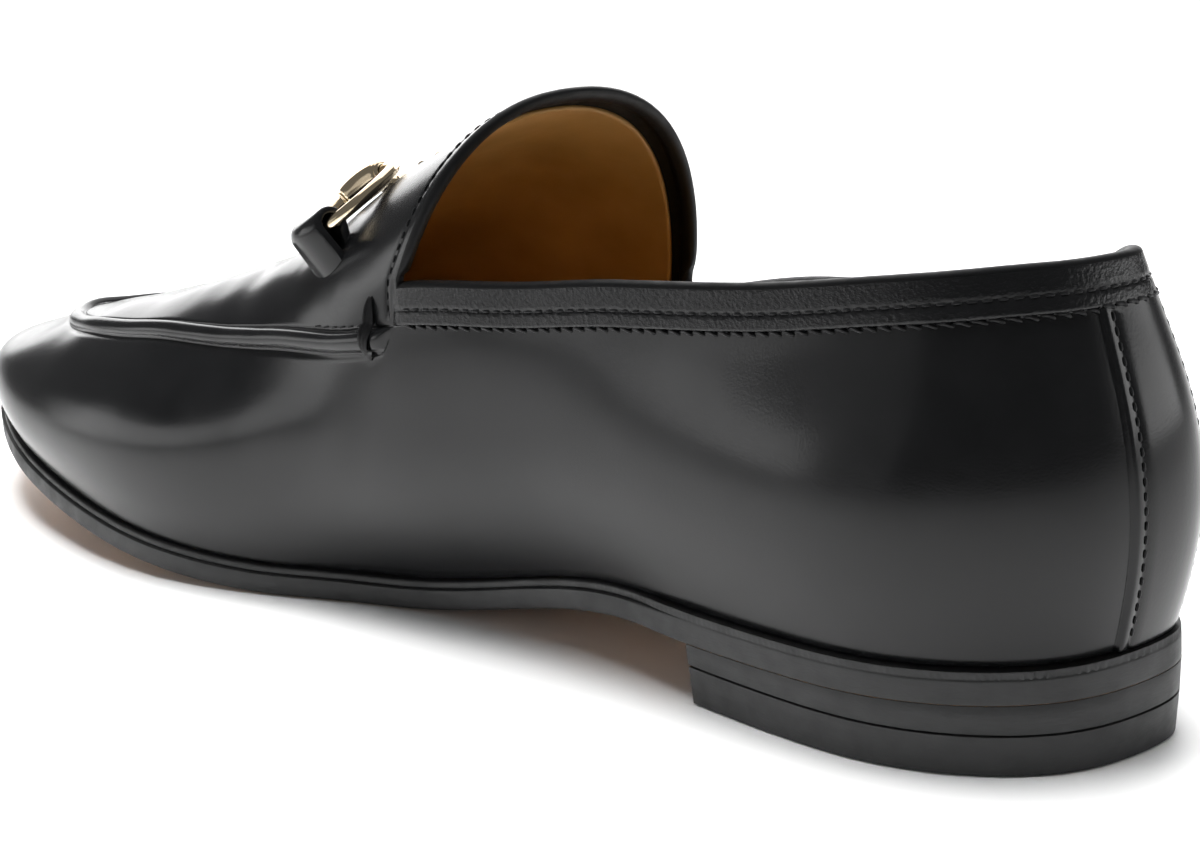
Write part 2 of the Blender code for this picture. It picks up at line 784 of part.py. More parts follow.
def make_bar(skin, material):
    """Bar over the ridge, slim beside its barrels and swelling to a knuckle in the middle."""
    path = bar_path(skin)
    heelward = ring_frame("medial")[3]
    (_, first_out), (_, last_out) = barrel_middles()
    points = []
    rings = []
    for k, middle in enumerate(path):
        forward = path[min(k + 1, len(path) - 1)] - path[max(k - 1, 0)]
        if k == 0:
            forward = first_out
        if k == len(path) - 1:
            forward = -last_out
        forward = forward / np.linalg.norm(forward)
        beside = heelward - forward * np.dot(heelward, forward)
        beside = beside / np.linalg.norm(beside)
        above = np.cross(beside, forward)
        share = abs(2 * k / (len(path) - 1) - 1)
        radius = bar_width / 2 + (knuckle_width - bar_width) / 2 * math.exp(-((share / knuckle_spread) ** 2))
        ring = []
        for turn in np.linspace(0, 2 * math.pi, 10, endpoint=False):
            ring.append(len(points))
            points.append(middle + (beside * math.cos(turn) + above * math.sin(turn)) * radius)
        rings.append(ring)
    bar = make_object("bit_bar", points, capped_tube(rings), material)
    for side in ("medial", "lateral"):
        join(bar, make_barrel(side, material))


def make_tab(side, skin, material):
    """Leather strap folded round the ring's outer run, with both legs down to their slit in the vamp."""
    wire, out, axis = ring_section(side, math.pi)
    heelward = ring_frame(side)[3]
    lean = math.radians(tab_lean)
    down = out * math.cos(lean) - axis * math.sin(lean)
    face = out * math.sin(lean) + axis * math.cos(lean)
    inner = ring_wire / 2 + 2 * fit_gap
    outer = inner + tab_thickness
    length = ring_outer_diameter / 4
    radius = (ring_outer_diameter - ring_wire) / 2
    points = []
    rings = []
    for width in np.linspace(-tab_width / 2, tab_width / 2, 5):
        middle = wire + heelward * width - out * (radius - math.sqrt(radius**2 - width**2))

        def leg_end(turn, reach, slit):
            start = middle + face * reach * turn
            target = middle + face * slit * turn + down * length
            way = Vector(target - start).normalized()
            hit = skin.ray_cast(Vector(start), way)[0]
            return np.array(hit - way * leg_clearance)

        def bend(reach):
            turns = np.radians(np.linspace(0, 180, 9))
            return [middle + (face * math.cos(turn) - down * math.sin(turn)) * reach for turn in turns]

        loop = [leg_end(1, outer, slit_gap + tab_thickness)] + bend(outer)
        loop += [leg_end(-1, outer, slit_gap + tab_thickness), leg_end(-1, inner, slit_gap)]
        loop += bend(inner)[::-1] + [leg_end(1, inner, slit_gap)]
        rings.append(list(range(len(points), len(points) + len(loop))))
        points += loop
    faces = capped_tube(rings)[:-2]
    count = len(rings[0])
    half = count // 2
    for ring, turned in ((rings[0], False), (rings[-1], True)):
        for k in range(half - 1):
            face_corners = [ring[k], ring[k + 1], ring[count - 2 - k], ring[count - 1 - k]]
            faces.append(face_corners if turned else face_corners[::-1])
    make_object(f"tab_{side}", points, faces, material)


def make_keeper(side, skin, material):
    """Short whipped cord over the end of the apron seam, pointed where each end enters the leather."""
    place = throat_place + keeper_station * (side_length - throat_place)
    place = loop_length - place if side == "lateral" else place
    seam = seam_point(place)
    outward = -inward_direction(place)
    up = np.array([0.0, 0.0, 1.0])
    raised = math.radians(keeper_facing)
    facing = outward * math.cos(raised) + up * math.sin(raised)
    climb = np.cross(facing, np.cross(up, facing))
    climb = climb / np.linalg.norm(climb)
    beside = np.cross(climb, facing)
    points = []
    rings = []
    for share in np.linspace(-1, 1, 11):
        girth = max(1 - abs(share) ** keeper_taper, keeper_tip)
        middle = seam + climb * keeper_length * (share / 2 - 0.5 + keeper_rise) + facing * keeper_length
        under = []
        over = []
        for across in np.linspace(-1, 1, 5):
            start = middle + beside * across * keeper_width / 2 * girth**keeper_plan
            # taut over what it crosses, so each row clears the highest skin near it
            near = [start + climb * keeper_length * reach for reach in (-0.10, -0.05, 0.0, 0.05, 0.10)]
            drop = min(skin.ray_cast(Vector(point), Vector(-facing))[3] for point in near)
            under.append(start - facing * (drop - fit_gap))
            height = keeper_thickness * girth * (keeper_crown - across**2)
            over.append(start - facing * (drop - fit_gap - height))
        ring = list(range(len(points), len(points) + 10))
        points += under + over[::-1]
        rings.append(ring)
    make_object(f"keeper_{side}", points, capped_tube(rings), material)


def centre_over_floor():
    """Move every piece so that the origin lies under the middle of the shoe."""
    corners = np.array([vertex.co[:] for obj in bpy.data.objects for vertex in obj.data.vertices])
    low = corners.min(axis=0)
    high = corners.max(axis=0)
    middle = Vector(((low[0] + high[0]) / 2, (low[1] + high[1]) / 2, low[2]))
    for obj in bpy.data.objects:
        obj.data.transform(Matrix.Translation(-middle))


def main():
    remove_start_objects()
    calf = make_material("black_calf", (0.012, 0.012, 0.013), 0.28)
    edge = make_material("black_edge", (0.02, 0.02, 0.021), 0.55)
    rubber = make_material("black_top_lift", (0.022, 0.022, 0.023), 0.65)
    sock = make_material("tan_sock", (0.40, 0.22, 0.08), 0.6)
    gold = make_material("pale_gold", (0.83, 0.66, 0.42), 0.15, 1.0)
    make_outsole(edge)
    make_heel(edge, rubber)
    make_insole(sock)
    skin = make_upper(calf)
    make_bar(skin, gold)
    for side in ("medial", "lateral"):
        make_ring(side, gold)
        make_tab(side, skin, calf)
        make_keeper(side, skin, calf)
    centre_over_floor()


main()
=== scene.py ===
import math
import random

import bmesh
import bpy
import numpy as np
from mathutils import Matrix, Vector
from mathutils.bvhtree import BVHTree


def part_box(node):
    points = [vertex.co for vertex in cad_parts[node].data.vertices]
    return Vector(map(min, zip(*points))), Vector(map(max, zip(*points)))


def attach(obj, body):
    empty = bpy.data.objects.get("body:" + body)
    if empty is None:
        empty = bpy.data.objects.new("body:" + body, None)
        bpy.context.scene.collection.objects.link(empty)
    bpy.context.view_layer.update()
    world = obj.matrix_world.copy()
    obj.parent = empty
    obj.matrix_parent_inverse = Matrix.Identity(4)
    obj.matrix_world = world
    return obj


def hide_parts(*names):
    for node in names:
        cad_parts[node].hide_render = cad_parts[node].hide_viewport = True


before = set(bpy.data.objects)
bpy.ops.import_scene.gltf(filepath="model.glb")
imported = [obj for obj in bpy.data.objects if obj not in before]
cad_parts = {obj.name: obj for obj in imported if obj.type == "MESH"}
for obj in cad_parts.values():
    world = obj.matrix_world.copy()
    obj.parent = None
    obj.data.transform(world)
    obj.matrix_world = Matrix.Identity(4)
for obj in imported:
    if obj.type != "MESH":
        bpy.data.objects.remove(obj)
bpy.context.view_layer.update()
random.seed(7)
print("frame loaded, nodes:", sorted(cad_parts))


# Camera at the photograph's angle, rolled as the photograph is
cameraPlace = {
    "azimuth": 132.12,
    "elevation": 17.21,
    "roll": -3.72,
    "distance": 0.4448,
    "target": (0.0208, 0.0349, 0.0361),
    "lens": 84.9,
    "sensor": 36,
    "nearClip": 0.01,
}


def makeCamera():
    turn = math.radians(cameraPlace["azimuth"])
    lift = math.radians(cameraPlace["elevation"])
    roll = math.radians(cameraPlace["roll"])
    back = Vector((math.sin(turn) * math.cos(lift), -math.cos(turn) * math.cos(lift), math.sin(lift)))
    right = Vector((0, 0, 1)).cross(back).normalized()
    up = back.cross(right)
    rolledRight = right * math.cos(roll) + up * math.sin(roll)
    rolledUp = up * math.cos(roll) - right * math.sin(roll)
    camera = bpy.data.objects.new("camera", bpy.data.cameras.new("camera"))
    bpy.context.scene.collection.objects.link(camera)
    axes = Matrix((rolledRight, rolledUp, back)).transposed().to_4x4()
    axes.translation = Vector(cameraPlace["target"]) + back * cameraPlace["distance"]
    camera.matrix_world = axes
    camera.data.sensor_width = cameraPlace["sensor"]
    camera.data.lens = cameraPlace["lens"]
    camera.data.clip_start = cameraPlace["nearClip"]
    bpy.context.scene.camera = camera


makeCamera()


# White studio: a pale floor, bright cards round the far side and dark air on the camera's side
studio = {
    "floorSize": 6.0,
    "floorColour": (0.93, 0.93, 0.93),
    "floorRoughness": 0.65,
    "floorSpecular": 0.2,
    "floorDrop": 0.0002,
    "air": 0.13,
    "cards": {
        # middle, width, height, radiance
        "overhead": ((-0.38, -0.36, 0.72), 0.95, 0.95, 1.6),
        "farSide": ((-0.80, -0.62, 0.26), 1.4, 0.52, 2.9),
        "toeSide": ((0.60, -0.84, 0.12), 0.80, 0.24, 2.2),
        "sideFill": ((0.92, -0.40, 0.22), 0.60, 0.44, 0.35),
        "backSide": ((-0.62, 0.86, 0.13), 0.7, 0.26, 2.9),
    },
    # a soft lamp over the shoe for the floor, which the polished leather doesn't mirror
    "floorLamp": ((-0.02, -0.02, 0.70), 0.5, 0.5, 2.7),
    "floorLampSpread": 1.15,
    "aim": (0.0, 0.0, 0.04),
}


def makeCard(name, middle, width, height, radiance):
    data = bpy.data.lights.new(name, "AREA")
    data.shape = "RECTANGLE"
    data.size = width
    data.size_y = height
    data.energy = radiance * math.pi * width * height
    light = bpy.data.objects.new(name, data)
    bpy.context.scene.collection.objects.link(light)
    light.location = middle
    light.rotation_euler = (Vector(middle) - Vector(studio["aim"])).to_track_quat("Z", "Y").to_euler()
    light.visible_camera = False
    return light


def makeStudio():
    mesh = bpy.data.meshes.new("floor")
    half = studio["floorSize"] / 2
    corners = [(-half, -half, 0), (half, -half, 0), (half, half, 0), (-half, half, 0)]
    mesh.from_pydata(corners, [], [(0, 1, 2, 3)])
    floor = bpy.data.objects.new("floor", mesh)
    bpy.context.scene.collection.objects.link(floor)
    floor.location.z = -studio["floorDrop"]
    paint = bpy.data.materials.new("paleFloor")
    paint.use_nodes = True
    shader = paint.node_tree.nodes["Principled BSDF"]
    shader.inputs["Base Color"].default_value = (*studio["floorColour"], 1)
    shader.inputs["Roughness"].default_value = studio["floorRoughness"]
    shader.inputs["Specular IOR Level"].default_value = studio["floorSpecular"]
    mesh.materials.append(paint)
    for name, card in studio["cards"].items():
        makeCard(name, *card)
    lamp = makeCard("floorLamp", *studio["floorLamp"])
    lamp.data.spread = studio["floorLampSpread"]
    lamp.visible_glossy = False
    world = bpy.data.worlds.new("studioWorld")
    bpy.context.scene.world = world
    world.use_nodes = True
    world.node_tree.nodes["Background"].inputs["Color"].default_value = (*[studio["air"]] * 3, 1)
    bpy.context.scene.view_settings.view_transform = "Standard"


makeStudio()
print("camera and studio ready")


# The last: driving sizes in metres and shares of them, the same as the solids were cut from
lastSizes = {
    "outsoleLength": 0.260,
    "ballWidth": 0.083,
    "soleThickness": 0.0050,
    "heelHeight": 0.0095,
    "firstLift": 0.0030,
    "seatPitch": 0.0015,
    "toeSpring": 0.0140,
    "instepRise": 0.0800,
    "ridgeCrown": 0.0415,
    "fitGap": 0.0003,
    "featherInset": 0.0014,
    "bandWidth": 0.0073,
    "tongueLayBack": 0.0095,
    "seatEnd": 0.290,
    "treadStart": 0.535,
    "treadEnd": 0.610,
    "springPower": 1.45,
    "bulgeShare": 0.4,
    "bulgePull": 1.25,
    "footPull": 1.5,
    "footLift": 0.9,
    "crownReach": 0.50,
    "throatRow": 8,
    "keeperAhead": 0.042,  # share of the vamp's length ahead of the throat
}
sectionNames = (
    "along", "mSeamAlong", "lSeamAlong",
    "medial", "mBulge", "mBulgeRise", "mSeam", "mRise", "mLean",
    "lateral", "lBulge", "lBulgeRise", "lSeam", "lRise", "lLean",
)
sectionRows = (
    (0.000, 0.016, 0.016, 0.000, 0.030, 0.26, 0.000, 0.610, 19, 0.000, 0.030, 0.26, 0.000, 0.610, 19),
    (0.012, 0.026, 0.028, 0.158, 0.030, 0.26, 0.138, 0.619, 18, 0.096, 0.028, 0.26, 0.084, 0.600, 18),
    (0.035, 0.045, 0.048, 0.252, 0.030, 0.26, 0.216, 0.622, 17, 0.168, 0.026, 0.26, 0.148, 0.572, 17),
    (0.070, 0.075, 0.077, 0.320, 0.030, 0.25, 0.274, 0.616, 15, 0.238, 0.026, 0.25, 0.208, 0.522, 16),
    (0.125, 0.126, 0.127, 0.364, 0.027, 0.25, 0.306, 0.597, 13, 0.306, 0.025, 0.25, 0.268, 0.470, 15),
    (0.190, 0.190, 0.190, 0.357, 0.030, 0.25, 0.316, 0.568, 12, 0.346, 0.024, 0.25, 0.308, 0.438, 14),
    (0.275, 0.275, 0.273, 0.315, 0.046, 0.27, 0.322, 0.544, 11, 0.370, 0.022, 0.24, 0.334, 0.404, 14),
    (0.370, 0.370, 0.358, 0.256, 0.088, 0.30, 0.334, 0.538, 9, 0.412, 0.020, 0.24, 0.374, 0.386, 13),
    (0.462, 0.468, 0.438, 0.242, 0.116, 0.32, 0.346, 0.572, 8, 0.474, 0.015, 0.23, 0.424, 0.400, 14),
    (0.530, 0.534, 0.520, 0.270, 0.098, 0.31, 0.328, 0.552, 12, 0.526, 0.012, 0.22, 0.426, 0.424, 22),
    (0.595, 0.595, 0.594, 0.332, 0.052, 0.28, 0.298, 0.528, 21, 0.572, 0.010, 0.20, 0.410, 0.434, 32),
    (0.660, 0.658, 0.658, 0.386, 0.026, 0.22, 0.274, 0.490, 32, 0.588, 0.010, 0.17, 0.388, 0.418, 42),
    (0.725, 0.719, 0.717, 0.404, 0.016, 0.17, 0.254, 0.450, 42, 0.560, 0.010, 0.14, 0.350, 0.390, 50),
    (0.780, 0.766, 0.762, 0.386, 0.012, 0.13, 0.230, 0.402, 48, 0.506, 0.010, 0.12, 0.300, 0.354, 55),
    (0.840, 0.812, 0.806, 0.344, 0.008, 0.10, 0.196, 0.350, 54, 0.428, 0.008, 0.10, 0.238, 0.316, 59),
    (0.893, 0.845, 0.839, 0.288, 0.006, 0.08, 0.154, 0.300, 58, 0.337, 0.006, 0.08, 0.176, 0.276, 61),
    (0.942, 0.873, 0.870, 0.208, 0.006, 0.07, 0.102, 0.258, 61, 0.229, 0.006, 0.07, 0.114, 0.242, 63),
    (0.977, 0.887, 0.886, 0.124, 0.006, 0.06, 0.050, 0.228, 63, 0.130, 0.006, 0.06, 0.056, 0.220, 64),
    (1.000, 0.892, 0.892, 0.000, 0.006, 0.06, 0.000, 0.212, 64, 0.000, 0.006, 0.06, 0.000, 0.212, 64),
)
crownNames = ("crown", "shift", "slope", "fullness")
crownRows = (
    (0.985, 0.088, 0, 0.66),
    (0.760, 0.056, 12, 0.58),
    (0.445, 0.030, 32, 0.52),
    (0.270, 0.012, 50, 0.48),
    (0.160, 0.006, 62, 0.48),
    (0.100, 0.002, 68, 0.48),
    (0.066, 0.000, 72, 0.48),
    (0.042, 0.000, 75, 0.48),
    (0.020, 0.000, 78, 0.48),
    (0.006, 0.000, 80, 0.48),
    (0.000, 0.000, 82, 0.48),
)


def section(name):
    index = sectionNames.index(name)
    return np.array([row[index] for row in sectionRows])


class LoopSpline:
    # smooth closed curve through values at rising knots
    def __init__(self, knots, values, period):
        self.knots = np.append(knots, knots[0] + period)
        self.values = np.append(values, values[0])
        self.period = period
        count = len(knots)
        step = np.diff(self.knots)
        rise = np.diff(self.values) / step
        matrix = np.zeros((count, count))
        right = np.zeros(count)
        for k in range(count):
            matrix[k, k] = 2 / step[k - 1] + 2 / step[k]
            matrix[k, k - 1] += 1 / step[k - 1]
            matrix[k, (k + 1) % count] += 1 / step[k]
            right[k] = 3 * (rise[k - 1] / step[k - 1] + rise[k] / step[k])
        slopes = np.linalg.solve(matrix, right)
        self.slopes = np.append(slopes, slopes[0])

    def parts(self, place):
        place = self.knots[0] + np.mod(np.asarray(place, float) - self.knots[0], self.period)
        k = np.clip(np.searchsorted(self.knots, place, side="right") - 1, 0, len(self.knots) - 2)
        step = self.knots[k + 1] - self.knots[k]
        return k, step, (place - self.knots[k]) / step

    def at(self, place):
        k, step, t = self.parts(place)
        start = (2 * t**3 - 3 * t**2 + 1) * self.values[k] + (t**3 - 2 * t**2 + t) * step * self.slopes[k]
        end = (3 * t**2 - 2 * t**3) * self.values[k + 1] + (t**3 - t**2) * step * self.slopes[k + 1]
        return start + end

    def slope(self, place):
        k, step, t = self.parts(place)
        values = (6 * t**2 - 6 * t) * (self.values[k] - self.values[k + 1]) / step
        return values + (3 * t**2 - 4 * t + 1) * self.slopes[k] + (3 * t**2 - 2 * t) * self.slopes[k + 1]


length = lastSizes["outsoleLength"]
ball = lastSizes["ballWidth"]
instep = lastSizes["instepRise"]
sectionSteps = (
    np.hypot(np.diff(section("along") * length), np.diff(section("medial") * ball))
    + np.hypot(np.diff(section("along") * length), np.diff(section("lateral") * ball))
) / 2
sidePlaces = np.concatenate([[0.0], np.cumsum(sectionSteps)])
sideLength = sidePlaces[-1]
loopLength = 2 * sideLength
loopKnots = np.concatenate([sidePlaces, (loopLength - sidePlaces[1:-1])[::-1]])
throatPlace = sidePlaces[lastSizes["throatRow"]]
vampLength = sideLength - throatPlace


def around(medialValues, lateralValues):
    return LoopSpline(loopKnots, np.concatenate([medialValues, lateralValues[1:-1][::-1]]), loopLength)


outlineX = around(section("medial") * ball, -section("lateral") * ball)
outlineY = around(*[length * (0.5 - section("along"))] * 2)
bulgeOut = around(section("mBulge") * ball, section("lBulge") * ball)
bulgeRise = around(section("mBulgeRise") * instep, section("lBulgeRise") * instep)
seamX = around(section("mSeam") * ball, -section("lSeam") * ball)
seamY = around(*[length * (0.5 - section(name)) for name in ("mSeamAlong", "lSeamAlong")])
seamRise = around(section("mRise") * instep, section("lRise") * instep)
seamLean = around(np.radians(section("mLean")), np.radians(section("lLean")))
upward = np.array([0.0, 0.0, 1.0])


def soleBottom(y):
    along = 0.5 - y / length
    fall = np.clip((along - lastSizes["seatEnd"]) / (lastSizes["treadStart"] - lastSizes["seatEnd"]), 0, 1)
    waist = (lastSizes["heelHeight"] + lastSizes["fitGap"]) * (1 + np.cos(math.pi * fall)) / 2
    waist = waist + lastSizes["seatPitch"] * np.clip(1 - along / lastSizes["seatEnd"], 0, None)
    spring = np.clip((along - lastSizes["treadEnd"]) / (1 - lastSizes["treadEnd"]), 0, None)
    return waist + spring ** lastSizes["springPower"] * lastSizes["toeSpring"]


def outlinePoint(place, inset):
    tangent = np.array([outlineX.slope(place), outlineY.slope(place)])
    tangent = tangent / np.linalg.norm(tangent, axis=0)
    return np.array([outlineX.at(place), outlineY.at(place)]) + np.array([tangent[1], -tangent[0]]) * inset


def soleTop(place):
    return float(soleBottom(outlineY.at(place))) + lastSizes["soleThickness"]


def seamPoint(place):
    return np.array([seamX.at(place), seamY.at(place), soleTop(place) + seamRise.at(place)])


def inwardAtSeam(place):
    tangent = np.array([seamX.slope(place), seamY.slope(place)])
    tangent = tangent / np.linalg.norm(tangent)
    return np.array([tangent[1], -tangent[0], 0.0])


def hermite(start, end, startPull, endPull, t):
    return (
        (2 * t**3 - 3 * t**2 + 1) * start
        + (t**3 - 2 * t**2 + t) * startPull
        + (3 * t**2 - 2 * t**3) * end
        + (t**3 - t**2) * endPull
    )


def wallCurve(place, shares):
    # points up the side wall, share 0 at the feather line and 1 at the seam line
    baseHeight = soleTop(place)
    feather = np.append(outlinePoint(place, lastSizes["featherInset"]), baseHeight + lastSizes["fitGap"])
    bulge = np.append(outlinePoint(place, -bulgeOut.at(place)), baseHeight + bulgeRise.at(place))
    seam = seamPoint(place)
    lean = seamLean.at(place)
    middle = lastSizes["bulgeShare"]
    lowRise = bulge[2] - feather[2]
    startPull = (bulge - feather) * lastSizes["footPull"]
    startPull[2] = lowRise * lastSizes["footLift"]
    across = seam - bulge
    across[2] = 0
    reach = math.hypot(max(np.linalg.norm(across), 1e-9), seam[2] - bulge[2])
    endPull = (inwardAtSeam(place) * math.sin(lean) + upward * math.cos(lean)) * reach
    shares = np.asarray(shares, float)[:, None]
    low = hermite(feather, bulge, startPull, upward * lowRise, shares / middle)
    bulgePull = upward * (seam[2] - bulge[2]) * lastSizes["bulgePull"]
    high = hermite(bulge, seam, bulgePull, endPull, (shares - middle) / (1 - middle))
    return np.where(shares < middle, low, high)


def bandCurve(place, shares):
    # points up the collar band, share 0 at the seam line and 1 at the topline
    lean = seamLean.at(place)
    direction = inwardAtSeam(place) * math.sin(lean) + upward * math.cos(lean)
    return seamPoint(place) + direction * lastSizes["bandWidth"] * np.asarray(shares, float)[:, None]


def crownValue(name, place):
    index = crownNames.index(name)
    return float(np.interp(place, sidePlaces[lastSizes["throatRow"]:], [row[index] for row in crownRows]))


def crownCurve(place, side, shares):
    # points over the vamp, share 0 on the seam line and 1 on the ridge; side 1 medial, -1 lateral
    medial = seamPoint(place)
    lateral = seamPoint(loopLength - place)
    share = crownValue("crown", place)
    slope = math.radians(crownValue("slope", place))
    shift = crownValue("shift", place) * ball
    ridge = (medial + lateral) / 2 + np.array([shift, 0, share * lastSizes["ridgeCrown"]])
    foot = medial if side > 0 else lateral
    flat = (ridge - foot) * np.array([1, 1, 0])
    width = np.linalg.norm(flat)
    t = np.asarray(shares, float)[:, None]
    if width < 1e-6:
        return np.repeat(foot[None], len(t), axis=0)
    inward = flat / width
    lift = ridge[2] - foot[2]
    reach = math.hypot(width, lift) * lastSizes["crownReach"]
    nearFoot = foot + inward * math.sin(slope) * reach
    nearFoot[2] = foot[2] + math.cos(slope) * reach
    nearRidge = ridge - inward * width * crownValue("fullness", place)
    points = (1 - t) ** 3 * foot + 3 * (1 - t) ** 2 * t * nearFoot
    points = points + 3 * (1 - t) * t**2 * nearRidge + t**3 * ridge
    if lift > lastSizes["bandWidth"]:
        height = np.clip(points[:, 2] - foot[2] - lastSizes["bandWidth"], 0, None)
        height = height / (lift - lastSizes["bandWidth"])
        points[:, 1] += lastSizes["tongueLayBack"] * share**2 * height
    return points


def rowShift():
    # the solids stand with their middle over the origin, the tables with the outsole's
    places = np.linspace(0, loopLength, 2000, endpoint=False)
    outline = outlinePoint(places, 0)
    low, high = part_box("outsole")
    middle = (outline.min(axis=1) + outline.max(axis=1)) / 2
    return np.array([(low.x + high.x) / 2 - middle[0], (low.y + high.y) / 2 - middle[1], 0])


shift = rowShift()
print("last ready, shifted by", shift.round(5))


# Finishes: every one is procedural, in the object's own metres
def paintWith(name, colour, roughness, metallic=0.0, coat=0.0, coatRoughness=0.1, specular=0.5):
    material = bpy.data.materials.new(name)
    material.use_nodes = True
    shader = material.node_tree.nodes["Principled BSDF"]
    shader.inputs["Base Color"].default_value = (*colour, 1)
    shader.inputs["Roughness"].default_value = roughness
    shader.inputs["Metallic"].default_value = metallic
    shader.inputs["Coat Weight"].default_value = coat
    shader.inputs["Coat Roughness"].default_value = coatRoughness
    shader.inputs["Specular IOR Level"].default_value = specular
    return material


def noiseField(material, scale, detail=3.0, stretch=(1, 1, 1), kind="ShaderNodeTexNoise"):
    tree = material.node_tree
    place = tree.nodes.new("ShaderNodeTexCoord")
    mapping = tree.nodes.new("ShaderNodeMapping")
    mapping.inputs["Scale"].default_value = stretch
    field = tree.nodes.new(kind)
    field.inputs["Scale"].default_value = scale
    if "Detail" in field.inputs:
        field.inputs["Detail"].default_value = detail
    tree.links.new(place.outputs["Object"], mapping.inputs["Vector"])
    tree.links.new(mapping.outputs["Vector"], field.inputs["Vector"])
    return field.outputs[0]


noiseSpan = (0.3, 0.7)  # the part of a noise's range that is spread over the two looks


def varyRoughness(material, field, low, high):
    tree = material.node_tree
    spread = tree.nodes.new("ShaderNodeMapRange")
    spread.inputs["From Min"].default_value = noiseSpan[0]
    spread.inputs["From Max"].default_value = noiseSpan[1]
    spread.inputs["To Min"].default_value = low
    spread.inputs["To Max"].default_value = high
    tree.links.new(field, spread.inputs["Value"])
    tree.links.new(spread.outputs["Result"], tree.nodes["Principled BSDF"].inputs["Roughness"])


def varyColour(material, field, dark, light):
    tree = material.node_tree
    ramp = tree.nodes.new("ShaderNodeValToRGB")
    ramp.color_ramp.elements[0].position = noiseSpan[0]
    ramp.color_ramp.elements[0].color = (*dark, 1)
    ramp.color_ramp.elements[1].position = noiseSpan[1]
    ramp.color_ramp.elements[1].color = (*light, 1)
    tree.links.new(field, ramp.inputs["Fac"])
    tree.links.new(ramp.outputs["Color"], tree.nodes["Principled BSDF"].inputs["Base Color"])


def addRelief(material, layers):
    # layers of (field, height in metres, strength), each bump feeding the next
    tree = material.node_tree
    before = None
    for field, height, strength in layers:
        bump = tree.nodes.new("ShaderNodeBump")
        bump.inputs["Distance"].default_value = height
        bump.inputs["Strength"].default_value = strength
        tree.links.new(field, bump.inputs["Height"])
        if before:
            tree.links.new(before, bump.inputs["Normal"])
        before = bump.outputs["Normal"]
    shader = tree.nodes["Principled BSDF"]
    tree.links.new(before, shader.inputs["Normal"])


calfLook = {
    "colour": (0.0040, 0.0042, 0.0046),
    "paleWear": (0.0065, 0.0067, 0.0072),
    "wear": (120, 5),  # noise scale and detail
    "roughness": (0.17, 0.25),
    "polish": (70, 4),
    "coat": 0.04,
    "coatRoughness": 0.12,
    "specular": 0.30,
    # scale, detail, height in metres and strength
    "swell": (55.0, 1, 0.00045, 0.25),
    "grain": (2600.0, 3, 0.000035, 0.45),
    "pebble": (1500.0, 0.00012, 0.5),
}


def makeCalf(name, pebbled=False):
    look = calfLook
    low, high = look["roughness"]
    calf = paintWith(
        name, look["colour"], high,
        coat=look["coat"], coatRoughness=look["coatRoughness"], specular=look["specular"],
    )
    varyRoughness(calf, noiseField(calf, *look["polish"]), low, high)
    varyColour(calf, noiseField(calf, *look["wear"]), look["colour"], look["paleWear"])
    layers = []
    for scale, detail, height, strength in (look["swell"], look["grain"]):
        layers.append((noiseField(calf, scale, detail), height, strength))
    if pebbled:
        scale, height, strength = look["pebble"]
        layers.append((noiseField(calf, scale, kind="ShaderNodeTexVoronoi"), height, strength))
    addRelief(calf, layers)
    return calf


# The other finishes. tones: noise scale, detail, dark and light colour; gloss: scale, detail, low and high
# roughness; relief: scale, detail, height in metres, strength and how the noise is stretched
finishLooks = {
    "binding": {
        "name": "turnedBinding",
        "base": {"colour": (0.0032, 0.0033, 0.0036), "roughness": 0.5, "specular": 0.2},
        "gloss": (400, 4, 0.42, 0.62),
        "relief": (1500, 4, 0.00008, 0.5, (1, 1, 1)),
    },
    "lining": {
        "name": "tanLining",
        "base": {"colour": (0.38, 0.215, 0.06), "roughness": 0.62, "specular": 0.3},
        "tones": (60, 6, (0.31, 0.17, 0.042), (0.45, 0.26, 0.085)),
        "relief": (1800, 4, 0.00006, 0.5, (1, 1, 1)),
    },
    "edge": {
        "name": "inkedEdge",
        "base": {"colour": (0.024, 0.0245, 0.025), "roughness": 0.5, "specular": 0.36},
        "gloss": (300, 4, 0.42, 0.62),
        "relief": (900, 5, 0.00008, 0.5, (1, 1, 4)),
    },
    "topLift": {
        "name": "topLiftRubber",
        "base": {"colour": (0.026, 0.0265, 0.027), "roughness": 0.6, "specular": 0.32},
        "gloss": (500, 4, 0.5, 0.7),
        "relief": (1400, 4, 0.00008, 0.5, (1, 1, 1)),
    },
    "underside": {
        "name": "soleUnderside",
        "base": {"colour": (0.30, 0.15, 0.06), "roughness": 0.5},
        "tones": (90, 6, (0.22, 0.105, 0.04), (0.36, 0.19, 0.08)),
        "gloss": (140, 3, 0.4, 0.6),
        "relief": (1500, 4, 0.00005, 0.5, (1, 1, 1)),
    },
    "gold": {
        "name": "palePlate",
        "base": {"colour": (0.93, 0.77, 0.54), "roughness": 0.16, "metallic": 1.0},
        "gloss": (400, 4, 0.10, 0.20),
        "relief": (260, 2, 0.00008, 0.15, (1, 1, 1)),
    },
    "thread": {
        "name": "waxedThread",
        "base": {"colour": (0.006, 0.006, 0.0065), "roughness": 0.5, "specular": 0.3},
        "gloss": (700, 3, 0.34, 0.5),
        "relief": (4000, 3, 0.00008, 0.6, (1, 1, 3)),
    },
}


